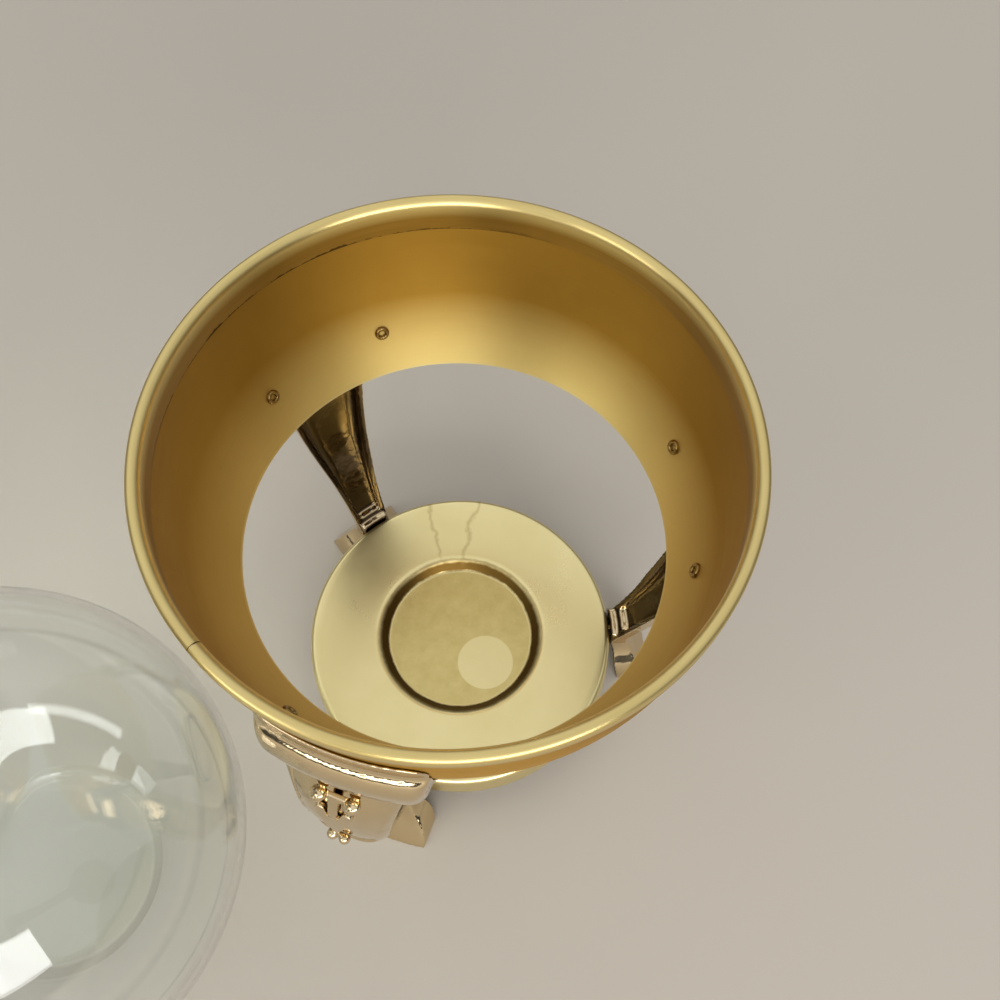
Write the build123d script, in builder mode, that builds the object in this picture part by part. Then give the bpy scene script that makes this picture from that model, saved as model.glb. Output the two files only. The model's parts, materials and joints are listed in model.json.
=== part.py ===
"""Glass carafe with a hinged lid, standing beside its three-legged brass warming stand.

Millimetres, +Z up, the table at z = 0. The origin is the middle of the pair's footprint.
"""

import os
from math import acos, asin, atan2, cos, degrees, hypot, radians, sin, sqrt

from build123d import *

# Places on the table
stand_x, stand_y = 59.6, 33.2
carafe_x, carafe_y = -50.9, -36.8
handle_angle = 212.0

# Fits
slip = 0.05
sheet_gap = 0.1
seat_gap = 0.3

# Collar: spun sheet, straight below the rim, then a ball's curve in to the hole
rim_top = 138.6
rim_radius = 65.0
collar_sheet = 0.8
hole_radius = 51.3
wall_radius = 62.6
wall_straight = 13.8

# Rim trim: a channel folded over the collar's lip, with a butt seam
trim_sheet = 0.5
trim_skirt = 9.0
trim_room = 0.2
trim_outer_drop = 3.8
trim_seam_angle = 225.4
trim_seam_gap = 0.3

# Dish: pressed sheet with a candle recess and a turned-down skirt
dish_radius = 44.6
dish_height = 21.5
dish_sheet = 0.8
dish_skirt = 8.6
dish_flare = 0.6
dish_edge_round = 1.6
recess_radius = 21.5
recess_depth = 3.4
recess_wall = 2.6
recess_corner = 1.0
recess_shoulder = 3.0

# Legs: hollow castings with a shoulder moulding, a shield, an ankle and a spread foot
leg_names = ("right", "back", "front")
leg_angles = (7.0, 129.0, 251.5)
leg_sweep = 24.0
leg_depth = 4.4
leg_web = 2.0
leg_flange = 1.6
shoulder_lap = 0.6
shoulder_height = 28.8
shoulder_band = 4.0
shoulder_band_proud = 0.8
shoulder_groove = 0.3
shoulder_proud = 3.2
shoulder_half_width = 18.6
shoulder_corner = 4.0
shoulder_low_corner = 2.2
shield_step = 1.2
shield_half_width = 14.3
knee_proud = 5.5
knee_drop = 68.0
knee_half_width = 12.3
shin_half_width = 7.5
shin_height = 40.3
ankle_height = 16.6
ankle_round = 6.0
ankle_half_width = 4.9
instep_half_width = 7.8
instep_height = 9.0
foot_half_width = 11.4
foot_spread = 8.8
foot_depth = 9.1
pocket_rib = 3.0
ankle_rib = 6.0
panel_border = 2.4
panel_top_border = 0.8
panel_depth = 0.7
panel_drop = 78.0
panel_corner = 7.0
lug_half_width = 4.2
lug_length = 4.2

# Rivets
rivet_drop = 39.4
rivet_angle = 16.6
rivet_radius = 1.2
rivet_length = 4.0
rivet_head_radius = 1.9
rivet_head_height = 0.9
rivet_crown_radius = 1.3
rivet_dimple_radius = 0.8
rivet_dimple_depth = 0.5
boss_radius = 2.8
dish_rivet_drop = 4.9

# Ornament on each shield, measured down from its two lobes
ornament_drop = 46.8
ornament_plate = 1.1
lobe_radius = 1.9
lobe_spread = 3.9
link_width = 1.5
leaf_top_spread = 3.2
leaf_top_drop = 6.5
leaf_foot_spread = 0.6
leaf_foot_drop = 15.0
leaf_half_width = 1.3
bud_half_width = 1.2
stem_half_width = 0.8
ball_radius = 1.4
ball_spread = 1.5
ball_drop = 25.0
dome_step = 0.3
stud_radius = 1.0
stud_drop = 9.0
stud_length = 2.6

# Glass
glass_wall = 1.8
belly_radius = 61.5
base_radius = 26.0
base_ring = 5.0
base_kick = 2.0
base_round = 2.4
neck_radius = 26.0
neck_curve = 10.0
neck_straight = 12.0
lip_radius = 33.0
lip_rise = 22.5
spout_radius = 11.0
spout_root_radius = 7.0
spout_reach = 37.5
spout_height = 18.0

# Neck band and liner, hinge plate and clamp screw
liner_sheet = 0.8
band_sheet = 1.0
band_height = 10.0
ear_reach = 15.0
plate_thickness = 2.0
screw_out = 9.5
screw_radius = 2.0
screw_head_radius = 3.6
screw_head_height = 2.2
nut_height = 2.4
nut_across_flats = 7.0
screw_slot_width = 0.9
screw_slot_depth = 0.8

# Handle
handle_width = 13.0
handle_thickness = 12.0
handle_corner = 3.6
handle_end_round = 3.0
handle_back_off = 1.6
handle_reach = 86.0
handle_lean = 4.0
handle_low = 48.0
handle_bend = 24.0

# Lid and its hinge
lid_sheet = 1.0
lid_overhang = 1.6
lid_rise = 9.0
dome_margin = 1.5
insert_margin = 3.6
insert_depth = 4.6
hinge_out = 10.0
hinge_rise = 3.4
pin_radius = 1.25
pin_head_radius = 2.0
pin_head_height = 0.8
eye_radius = 3.2
lug_thickness = 2.0
leaf_thickness = 1.4
leaf_margin = 3.0
leaf_rivet_inset = 3.6
leaf_rivet_spread = 3.2
leaf_back_off = 5.5
leaf_width = 11.0
leaf_corner = 2.0
thumb_angle = 60.0
thumb_start = 6.0
thumb_length = 10.0
knob_radius = 8.2
knob_height = 15.0
knob_foot_radius = 5.5
knob_foot_height = 1.4
knob_neck_radius = 4.0
knob_neck_height = 4.2
knob_swell_height = 9.8
knob_screw_radius = 1.5
knob_screw_length = 10.0
knob_screw_head_radius = 2.8
knob_screw_head_height = 1.4

# Axes and planes of the two assemblies
stand_base = Vector(stand_x, stand_y, 0)
stand_axis = Axis(stand_base, (0, 0, 1))
carafe_base = Vector(carafe_x, carafe_y, 0)
carafe_axis = Axis(carafe_base, (0, 0, 1))


def side_plane(base, angle):
    """Upright plane through a vertical axis: x runs outwards at the angle, y runs up."""
    a = radians(angle)
    return Plane(origin=base, x_dir=(cos(a), sin(a), 0), z_dir=(sin(a), -cos(a), 0))


def front_plane(base, angle):
    """Upright plane seen from outside: x runs round the axis, y runs up, z points outwards."""
    a = radians(angle)
    return Plane(origin=base, x_dir=(-sin(a), cos(a), 0), z_dir=(cos(a), sin(a), 0))


def level_plane(base, height):
    """Level plane at a height over a vertical axis, with x towards the carafe's handle."""
    a = radians(handle_angle)
    return Plane(origin=base + Vector(0, 0, height), x_dir=(cos(a), sin(a), 0), z_dir=(0, 0, 1))


def rivets(places, length):
    """Rivets with the head's flat side on each plane and the shank along the plane's z."""
    with Locations(*places):
        Cone(rivet_crown_radius, rivet_head_radius, rivet_head_height, align=(Align.CENTER, Align.CENTER, Align.MAX))
        Cylinder(rivet_radius, length, align=(Align.CENTER, Align.CENTER, Align.MIN))
    with Locations(*[place.offset(-rivet_head_height) for place in places]):
        Cylinder(
            rivet_dimple_radius,
            rivet_dimple_depth,
            align=(Align.CENTER, Align.CENTER, Align.MIN),
            mode=Mode.SUBTRACT,
        )


def bores(places, radius, length):
    """Round holes from each plane along its z."""
    with Locations(*places):
        Cylinder(radius, length, align=(Align.CENTER, Align.CENTER, Align.MIN), mode=Mode.SUBTRACT)


def save(piece, name):
    piece.part.label = name
    export_step(piece.part, f"parts/{name}.step")


os.makedirs("parts", exist_ok=True)
stand_section = side_plane(stand_base, 0)
carafe_section = side_plane(carafe_base, handle_angle)

# Collar: its lip ends in the room below the trim's roll
curve_top = rim_top - wall_straight
trim_inner = wall_radius - sheet_gap - trim_sheet
trim_roll_radius = (rim_radius - trim_inner) / 2
trim_roll_height = rim_top - trim_roll_radius
lip_end = trim_roll_height - trim_room
wall_outside = wall_radius + collar_sheet


def wall_tilt(height):
    """How far the collar's curved wall leans in from upright at a height, in degrees."""
    return degrees(asin((curve_top - height) / wall_radius))


def wall_point(height, out=0.0):
    """Point in the section level with a height on the inner face, so far outside along the normal."""
    tilt = radians(wall_tilt(height))
    return (wall_radius + out) * cos(tilt), curve_top - (wall_radius + out) * sin(tilt)


def rivet_plane(angle):
    """Plane on the collar's inner face at a rivet, with z along the rivet's shank."""
    a = radians(angle)
    tilt = radians(wall_tilt(rim_top - rivet_drop))
    radius, height = wall_point(rim_top - rivet_drop, -slip)
    origin = stand_base + Vector(radius * cos(a), radius * sin(a), height)
    return Plane(origin=origin, z_dir=(cos(tilt) * cos(a), cos(tilt) * sin(a), -sin(tilt)))


leg_rivet_places = [rivet_plane(angle + turn) for angle in leg_angles for turn in (-rivet_angle, rivet_angle)]

with BuildPart() as collar:
    with BuildSketch(stand_section):
        with BuildLine():
            CenterArc((0, curve_top), wall_radius, 0, -degrees(acos(hole_radius / wall_radius)))
            Line((wall_radius, curve_top), (wall_radius, lip_end))
            offset(amount=collar_sheet, side=Side.LEFT)
        make_face()
    revolve(axis=stand_axis)
    bores(leg_rivet_places, rivet_radius + slip, 2 * collar_sheet)
save(collar, "collar")

# Rim trim
trim_seam_turn = degrees(trim_seam_gap / rim_radius)

with BuildPart() as rim_trim:
    with BuildSketch(side_plane(stand_base, trim_seam_angle + trim_seam_turn / 2)):
        with BuildLine():
            Line((trim_inner, rim_top - trim_skirt), (trim_inner, trim_roll_height))
            ThreePointArc(
                (trim_inner, trim_roll_height),
                (trim_inner + trim_roll_radius, rim_top),
                (rim_radius, trim_roll_height),
            )
            Line((rim_radius, trim_roll_height), (rim_radius, rim_top - trim_outer_drop))
            offset(amount=trim_sheet, side=Side.RIGHT)
        make_face()
    revolve(axis=stand_axis, revolution_arc=360 - trim_seam_turn)
save(rim_trim, "rim_trim")

# Dish
dish_bottom = dish_height - dish_skirt
skirt_radius = dish_radius + dish_flare
dish_rivet_height = dish_height - dish_rivet_drop
dish_rivet_seat = dish_radius + dish_flare * dish_rivet_drop / dish_skirt - dish_sheet - seat_gap
dish_rivet_places = [
    Plane(
        origin=front_plane(stand_base, angle).from_local_coords((0, dish_rivet_height, dish_rivet_seat)),
        z_dir=front_plane(stand_base, angle).z_dir,
    )
    for angle in leg_angles
]

with BuildPart() as dish:
    with BuildSketch(stand_section):
        with BuildLine():
            FilletPolyline(
                (0, dish_height - recess_depth),
                (recess_radius, dish_height - recess_depth),
                (recess_radius + recess_wall, dish_height),
                (dish_radius, dish_height),
                (skirt_radius, dish_bottom),
                radius=[recess_corner, recess_shoulder, dish_edge_round],
            )
            offset(amount=dish_sheet, side=Side.RIGHT)
        make_face()
    revolve(axis=stand_axis)
    bores(dish_rivet_places, rivet_radius + slip, 2 * dish_sheet)
save(dish, "dish")

# Legs: heights and radii of the side profile. The shield and the knee lie on a ball round the stand's
# axis, and the shin's straight line leaves the ball where it points at the ankle.
shoulder_top = curve_top + shoulder_lap
shoulder_bottom = shoulder_top - shoulder_height
band_radius = wall_outside + shoulder_band_proud
swell_top = shoulder_top - shoulder_band
swell_half = (swell_top - shoulder_bottom) / 2
swell_bend = (swell_half**2 + shoulder_proud**2) / (2 * shoulder_proud)
swell_end = degrees(asin(swell_half / swell_bend))
swell_centre = (wall_outside + shoulder_proud - swell_bend, shoulder_bottom + swell_half)
swell_start = degrees(acos((band_radius - shoulder_groove - swell_centre[0]) / swell_bend))
shield_top = shoulder_bottom - shield_step
knee_radius = wall_outside + knee_proud
knee_height = rim_top - knee_drop
ankle_radius = skirt_radius + sheet_gap + leg_depth
foot_radius = ankle_radius + foot_spread
seat_low = shoulder_bottom + pocket_rib
seat_out = collar_sheet + sheet_gap
lug_turn = degrees(asin(lug_half_width / skirt_radius))


def knee_reach(height, inset):
    """Radius of the shield's and the knee's face at a height."""
    return sqrt((knee_radius - inset) ** 2 - (height - knee_height) ** 2)


def shin_slope(inset):
    """Slope of the shin's line from upright, in degrees."""
    out = ankle_radius - inset
    down = knee_height - ankle_height
    return degrees(atan2(down, out) - acos((knee_radius - inset) / hypot(out, down)))


def knee_arc(inset):
    """Arc over the shield and the knee down to the shin."""
    start = degrees(asin((shield_top - knee_height) / (knee_radius - inset)))
    return CenterArc((0, knee_height), knee_radius - inset, start, -start - shin_slope(inset))


def shin_line(knee, inset, foot):
    """Shin, ankle and foot from the end of the knee's arc to the floor."""
    return FilletPolyline(knee @ 1, (ankle_radius - inset, ankle_height), (foot, 0), radius=ankle_round)


with BuildSketch() as leg_outline:
    with BuildLine():
        FilletPolyline(
            (0, shoulder_top),
            (shoulder_half_width, shoulder_top),
            (shoulder_half_width, shoulder_bottom),
            (shield_half_width, shoulder_bottom),
            radius=[shoulder_corner, shoulder_low_corner],
        )
        shield = ThreePointArc(
            (shield_half_width, shoulder_bottom),
            (knee_half_width, knee_height),
            (shin_half_width, shin_height),
        )
        shin = TangentArc(shield @ 1, (ankle_half_width, ankle_height), tangent=shield % 1)
        instep = TangentArc(shin @ 1, (instep_half_width, instep_height), tangent=shin % 1)
        TangentArc(instep @ 1, (foot_half_width, 0), tangent=instep % 1)
        Line((foot_half_width, 0), (0, 0))
        Line((0, 0), (0, shoulder_top))
    make_face()
    mirror(about=Plane.YZ)

with BuildSketch() as pocket_outline:
    add(leg_outline.sketch)
    offset(amount=-leg_flange)
    with Locations((0, seat_low - pocket_rib / 2)):
        Rectangle(2 * shoulder_half_width, pocket_rib, mode=Mode.SUBTRACT)
    with Locations((0, ankle_height)):
        Rectangle(2 * foot_half_width, 2 * ankle_rib, mode=Mode.SUBTRACT)

with BuildSketch() as pocket_profile:
    with BuildLine():
        knee = knee_arc(leg_web)
        shin = shin_line(knee, leg_web, foot_radius - leg_web)
        Polyline(
            shin @ 1,
            (dish_radius, 0),
            (dish_radius, shoulder_top),
            (wall_radius, shoulder_top),
            (wall_radius, shoulder_bottom),
            knee @ 0,
        )
    make_face()

with BuildSketch() as leg_profile:
    with BuildLine():
        swell = CenterArc(swell_centre, swell_bend, swell_start, -swell_start - swell_end)
        knee = knee_arc(0)
        shin = shin_line(knee, 0, foot_radius)
        Line(swell @ 1, knee @ 0)
        seat = CenterArc((0, curve_top), wall_radius + seat_out, 0, -wall_tilt(seat_low))
        back = knee_arc(leg_depth)
        back_shin = shin_line(back, leg_depth, foot_radius - foot_depth)
        Line(seat @ 1, back @ 0)
        Line(back_shin @ 1, shin @ 1)
        Polyline(
            seat @ 0,
            (wall_radius + seat_out, shoulder_top),
            (band_radius, shoulder_top),
            (band_radius, swell_top),
            swell @ 0,
        )
    make_face()

panel_low = rim_top - panel_drop
panel_high = shield_top - panel_top_border

with BuildSketch() as panel_outline:
    add(leg_outline.sketch)
    offset(amount=-panel_border)
    with Locations((0, (panel_high + panel_low) / 2)):
        RectangleRounded(2 * shield_half_width, panel_high - panel_low, panel_corner, mode=Mode.INTERSECT)


def space_outside(inset):
    """Outline of the space outside the shield's ball."""
    knee = knee_arc(inset)
    Polyline(knee @ 1, (2 * rim_radius, (knee @ 1).Y), (2 * rim_radius, shield_top), knee @ 0)


with BuildSketch() as panel_space:
    with BuildLine():
        space_outside(panel_depth)
    make_face()

# Ornament: two lobes over two leaves, a stem and two balls
lobe_height = rim_top - ornament_drop
ornament_back = panel_depth - sheet_gap
ornament_front = ornament_back - ornament_plate

with BuildSketch() as ornament_outline:
    with Locations((-lobe_spread, lobe_height), (lobe_spread, lobe_height)):
        Circle(lobe_radius - dome_step)
    with Locations((0, lobe_height)):
        Rectangle(2 * lobe_spread, link_width)
    for side in (-1, 1):
        with BuildLine():
            Line(
                (side * leaf_top_spread, lobe_height - leaf_top_drop),
                (side * leaf_foot_spread, lobe_height - leaf_foot_drop),
            )
            offset(amount=leaf_half_width)
        make_face()
        with Locations((side * ball_spread, lobe_height - ball_drop)):
            Circle(ball_radius - dome_step)
    with BuildLine():
        Polyline(
            (0, lobe_height),
            (-leaf_foot_spread - leaf_half_width, lobe_height - leaf_foot_drop),
            (leaf_foot_spread + leaf_half_width, lobe_height - leaf_foot_drop),
            (0, lobe_height),
        )
    make_face()
    with Locations((0, lobe_height - (leaf_foot_drop + ball_drop) / 2)):
        Rectangle(2 * stem_half_width, ball_drop - leaf_foot_drop)
    with Locations((0, lobe_height - leaf_top_drop / 2)):
        Rectangle(2 * bud_half_width, leaf_top_drop)

with BuildSketch() as ornament_profile:
    with BuildLine():
        back = knee_arc(ornament_back)
        front = knee_arc(ornament_front)
        Line(back @ 0, front @ 0)
        Line(back @ 1, front @ 1)
    make_face()

with BuildSketch() as ornament_space:
    with BuildLine():
        space_outside(ornament_back)
    make_face()


def shield_point(face, across, drop, inset):
    """Point over the shield, measured down from the lobes and in from its outer face."""
    height = lobe_height - drop
    return face.from_local_coords((across, height, sqrt(knee_reach(height, inset) ** 2 - across**2)))


for leg_name, leg_angle in zip(leg_names, leg_angles):
    leg_section = side_plane(stand_base, leg_angle - leg_sweep)
    leg_face = front_plane(stand_base, leg_angle)
    lug_section = side_plane(stand_base, leg_angle - lug_turn)
    stud_place = Plane(origin=shield_point(leg_face, 0, stud_drop, ornament_front), z_dir=-leg_face.z_dir)

    # Hollow behind the shoulder, the shield and the foot, with bosses left for the rivets
    with BuildPart() as pocket:
        with BuildSketch(leg_face):
            add(pocket_outline.sketch)
        extrude(amount=2 * rim_radius)
        with BuildSketch(leg_section):
            add(pocket_profile.sketch)
        revolve(axis=stand_axis, revolution_arc=2 * leg_sweep, mode=Mode.INTERSECT)
        bores(leg_rivet_places, boss_radius, 4 * leg_depth)

    with BuildPart() as panel:
        with BuildSketch(leg_section):
            add(panel_space.sketch)
        revolve(axis=stand_axis, revolution_arc=2 * leg_sweep)
        with BuildSketch(leg_face):
            add(panel_outline.sketch)
        extrude(amount=2 * rim_radius, mode=Mode.INTERSECT)

    with BuildPart() as leg:
        with BuildSketch(leg_section):
            add(leg_profile.sketch)
        revolve(axis=stand_axis, revolution_arc=2 * leg_sweep)
        with BuildSketch(leg_face):
            add(leg_outline.sketch)
        extrude(amount=2 * rim_radius, mode=Mode.INTERSECT)
        add(pocket.part, mode=Mode.SUBTRACT)
        add(panel.part, mode=Mode.SUBTRACT)
        with BuildSketch(lug_section):
            with Locations((ankle_radius - leg_depth + lug_length / 2, dish_height - dish_skirt / 2)):
                Rectangle(lug_length, dish_skirt)
        revolve(axis=stand_axis, revolution_arc=2 * lug_turn)
        bores(leg_rivet_places + dish_rivet_places, rivet_radius + slip, rivet_length + slip)
        bores([stud_place], stud_radius + slip, ornament_plate + leg_web)
    save(leg, "leg_" + leg_name)

    with BuildPart() as ornament:
        with BuildSketch(leg_section):
            add(ornament_profile.sketch)
        revolve(axis=stand_axis, revolution_arc=2 * leg_sweep)
        with BuildSketch(leg_face):
            add(ornament_outline.sketch)
        extrude(amount=2 * rim_radius, mode=Mode.INTERSECT)
        for side in (-1, 1):
            lobe_place = shield_point(leg_face, side * lobe_spread, 0, ornament_front)
            ball_place = shield_point(leg_face, side * ball_spread, ball_drop, ornament_front)
            with Locations(Plane(origin=lobe_place, z_dir=leg_face.z_dir)):
                Sphere(lobe_radius)
            with Locations(Plane(origin=ball_place, z_dir=leg_face.z_dir)):
                Sphere(ball_radius)
        with BuildSketch(leg_section):
            add(ornament_space.sketch)
        revolve(axis=stand_axis, revolution_arc=2 * leg_sweep, mode=Mode.INTERSECT)
        with Locations(stud_place):
            Cylinder(stud_radius, stud_length, align=(Align.CENTER, Align.CENTER, Align.MIN))
    save(ornament, "ornament_" + leg_name)

# Rivets of the stand
with BuildPart() as leg_rivets:
    rivets(leg_rivet_places, rivet_length)
save(leg_rivets, "leg_rivets")

with BuildPart() as dish_rivets:
    rivets(dish_rivet_places, rivet_length)
save(dish_rivets, "dish_rivets")

# Glass: the belly's sphere is cut flat at the table and runs into the neck through an arc
belly_height = sqrt(belly_radius**2 - base_radius**2)
neck_centre = neck_radius + neck_curve
neck_bottom = belly_height + sqrt((belly_radius + neck_curve) ** 2 - neck_centre**2)
neck_top = neck_bottom + neck_straight
lip_top = neck_top + lip_rise
belly_angle = degrees(atan2(neck_bottom - belly_height, neck_centre))
lip_turn = degrees(2 * atan2(lip_radius - neck_radius, lip_rise))
lip_bend = lip_rise / sin(radians(lip_turn))
kick_radius = base_radius - base_ring
kick_bend = (kick_radius**2 + base_kick**2) / (2 * base_kick)


def glass_line(inset, foot):
    """Half section of the glass's solid shape, moved in by the inset, from its foot to the lip."""
    side = belly_radius - inset
    low_angle = degrees(asin((belly_height - foot) / side))
    Line((0, foot), (side * cos(radians(low_angle)), foot))
    CenterArc((0, belly_height), side, -low_angle, low_angle + belly_angle)
    CenterArc((neck_centre, neck_bottom), neck_curve + inset, 180, belly_angle)
    Line((neck_radius - inset, neck_bottom), (neck_radius - inset, neck_top))
    lip = CenterArc((neck_radius + lip_bend, neck_top), lip_bend + inset, 180, -lip_turn)
    Polyline(lip @ 1, (0, (lip @ 1).Y), (0, foot))


def spout_circle(height, reach, radius, inset):
    """Circle whose far side reaches out opposite the handle."""
    with BuildSketch(level_plane(carafe_base, height)) as circle:
        with Locations((radius - reach, 0)):
            Circle(radius - inset)
    return circle.sketch


with BuildPart() as carafe_glass:
    with BuildSketch(carafe_section):
        with BuildLine():
            glass_line(0, 0)
        make_face()
    revolve(axis=carafe_axis)
    loft(
        [
            spout_circle(lip_top - spout_height, neck_radius, spout_root_radius, 0),
            spout_circle(lip_top, spout_reach, spout_radius, 0),
        ]
    )
    with BuildSketch(carafe_section):
        with BuildLine():
            glass_line(glass_wall, base_kick + glass_wall)
        make_face()
    revolve(axis=carafe_axis, mode=Mode.SUBTRACT)
    loft(
        [
            spout_circle(lip_top - spout_height, neck_radius, spout_root_radius, glass_wall),
            spout_circle(lip_top, spout_reach, spout_radius, glass_wall),
        ],
        mode=Mode.SUBTRACT,
    )
    with BuildSketch(carafe_section):
        with BuildLine():
            JernArc(
                start=(0, base_kick),
                tangent=(1, 0),
                radius=kick_bend,
                arc_size=-degrees(asin(kick_radius / kick_bend)),
            )
            Polyline((kick_radius, 0), (0, 0), (0, base_kick))
        make_face()
    revolve(axis=carafe_axis, mode=Mode.SUBTRACT)
    fillet(carafe_glass.edges().group_by(Axis.Z)[0], base_round)
save(carafe_glass, "carafe_glass")

# Neck liner and band
band_bottom = neck_bottom + (neck_straight - band_height) / 2
band_middle = band_bottom + band_height / 2
liner_radius = neck_radius + slip
clamp_radius = liner_radius + liner_sheet + slip
band_outside = clamp_radius + band_sheet
ear_end = band_outside + ear_reach
ear_middle = (plate_thickness + band_sheet) / 2 + slip
screw_place = (band_outside + screw_out, band_middle)
hinge_place = (lip_radius + hinge_out, lip_top + hinge_rise)

with BuildPart() as neck_liner:
    with BuildSketch(level_plane(carafe_base, band_bottom)):
        Circle(liner_radius + liner_sheet)
        Circle(liner_radius, mode=Mode.SUBTRACT)
    extrude(amount=band_height)
save(neck_liner, "neck_liner")

with BuildPart() as neck_band:
    with BuildSketch(level_plane(carafe_base, band_bottom)):
        Circle(band_outside)
        with Locations(((liner_radius + ear_end) / 2, 0)):
            Rectangle(ear_end - liner_radius, 2 * ear_middle + band_sheet)
            Rectangle(ear_end - liner_radius, 2 * ear_middle - band_sheet, mode=Mode.SUBTRACT)
        Circle(clamp_radius, mode=Mode.SUBTRACT)
    extrude(amount=band_height)
    with BuildSketch(carafe_section):
        with Locations(screw_place):
            Circle(screw_radius + slip)
    extrude(amount=2 * ear_middle, both=True, mode=Mode.SUBTRACT)
save(neck_band, "neck_band")

# Hinge plate between the ears
with BuildPart() as hinge_plate:
    with BuildSketch(carafe_section):
        with Locations(((band_outside + ear_end) / 2, band_middle)):
            Rectangle(ear_reach - 2 * slip, band_height)
        with Locations(hinge_place):
            Circle(eye_radius)
        make_hull()
        with Locations(hinge_place):
            Circle(pin_radius + slip, mode=Mode.SUBTRACT)
        with Locations(screw_place):
            Circle(screw_radius + slip, mode=Mode.SUBTRACT)
    extrude(amount=plate_thickness / 2, both=True)
save(hinge_plate, "hinge_plate")

# Handle: slotted over the ears, out from the neck and down beside the belly
cheek = handle_width / 2
slot_end = max(ear_end, hinge_place[0] + eye_radius) + seat_gap

with BuildPart() as handle:
    with BuildLine(carafe_section) as grip:
        FilletPolyline(
            (band_outside + handle_back_off, band_middle),
            (handle_reach, band_middle),
            (handle_reach - handle_lean, handle_low),
            radius=handle_bend,
        )
    with BuildSketch(Plane(origin=grip.line @ 0, x_dir=carafe_section.z_dir, z_dir=grip.line % 0)):
        RectangleRounded(handle_width, handle_thickness, handle_corner)
    sweep(path=grip.line)
    fillet(handle.faces().sort_by(Axis.Z)[0].edges(), handle_end_round)
    with BuildSketch(carafe_section):
        with Locations((slot_end / 2, band_middle)):
            Rectangle(slot_end, 2 * handle_thickness)
    extrude(amount=ear_middle + band_sheet / 2 + slip, both=True, mode=Mode.SUBTRACT)
    with BuildSketch(carafe_section):
        with Locations(screw_place):
            Circle(screw_radius + slip)
    extrude(amount=handle_width, both=True, mode=Mode.SUBTRACT)
    with BuildSketch(carafe_section.offset(cheek - screw_head_height)):
        with Locations(screw_place):
            Circle(screw_head_radius + slip)
    extrude(amount=handle_width, mode=Mode.SUBTRACT)
    with BuildSketch(carafe_section.offset(nut_height - cheek)):
        with Locations(screw_place):
            RegularPolygon(nut_across_flats / 2 + slip, 6, major_radius=False)
    extrude(amount=-handle_width, mode=Mode.SUBTRACT)
save(handle, "handle")

with BuildPart() as band_screw:
    with BuildSketch(carafe_section.offset(-cheek)):
        with Locations(screw_place):
            Circle(screw_radius)
    extrude(amount=handle_width - screw_head_height)
    with BuildSketch(carafe_section.offset(cheek - screw_head_height)):
        with Locations(screw_place):
            Circle(screw_head_radius)
    extrude(amount=screw_head_height)
    with BuildSketch(carafe_section.offset(cheek)):
        with Locations(screw_place):
            Rectangle(2 * screw_head_radius, screw_slot_width)
    extrude(amount=-screw_slot_depth, mode=Mode.SUBTRACT)
save(band_screw, "band_screw")

with BuildPart() as band_nut:
    with BuildSketch(carafe_section.offset(-cheek)):
        with Locations(screw_place):
            RegularPolygon(nut_across_flats / 2, 6, major_radius=False)
            Circle(screw_radius + slip, mode=Mode.SUBTRACT)
    extrude(amount=nut_height)
save(band_nut, "band_nut")

# Lid: spun dome with a flat brim over the lip and a flange in the mouth
lid_base = lip_top + seat_gap
lid_top = lid_base + lid_sheet
lid_radius = lip_radius + lid_overhang
insert_radius = lip_radius - glass_wall - insert_margin
leaf_rivet_out = insert_radius - leaf_rivet_inset
leaf_start = leaf_rivet_out - leaf_margin
dome_radius = leaf_start - dome_margin
dome_bend = (dome_radius**2 + lid_rise**2) / (2 * lid_rise)
dome_arc = -degrees(asin(dome_radius / dome_bend))
leaf_bottom = lid_top + slip
leaf_end = hinge_place[0] - leaf_back_off
lug_inside = plate_thickness / 2 + slip
lid_rivet_places = [
    Plane(
        origin=level_plane(carafe_base, leaf_bottom + leaf_thickness + slip).from_local_coords((leaf_rivet_out, across, 0)),
        z_dir=(0, 0, -1),
    )
    for across in (-leaf_rivet_spread, leaf_rivet_spread)
]
knob_screw_place = level_plane(carafe_base, lid_base + lid_rise - seat_gap)

with BuildPart() as lid:
    with BuildSketch(carafe_section):
        with BuildLine():
            top = JernArc(start=(0, lid_top + lid_rise), tangent=(1, 0), radius=dome_bend, arc_size=dome_arc)
            Polyline(
                top @ 1,
                (lid_radius, lid_top),
                (lid_radius, lid_base),
                (insert_radius, lid_base),
                (insert_radius, lid_base - insert_depth),
                (insert_radius - lid_sheet, lid_base - insert_depth),
                (insert_radius - lid_sheet, lid_base),
                (dome_radius, lid_base),
            )
            JernArc(start=(0, lid_base + lid_rise), tangent=(1, 0), radius=dome_bend, arc_size=dome_arc)
            Line((0, lid_base + lid_rise), (0, lid_top + lid_rise))
        make_face()
    revolve(axis=carafe_axis)
    bores(lid_rivet_places, rivet_radius + slip, 2 * insert_depth)
    bores([knob_screw_place], knob_screw_radius + slip, lid_rise)
save(lid, "lid")

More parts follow.
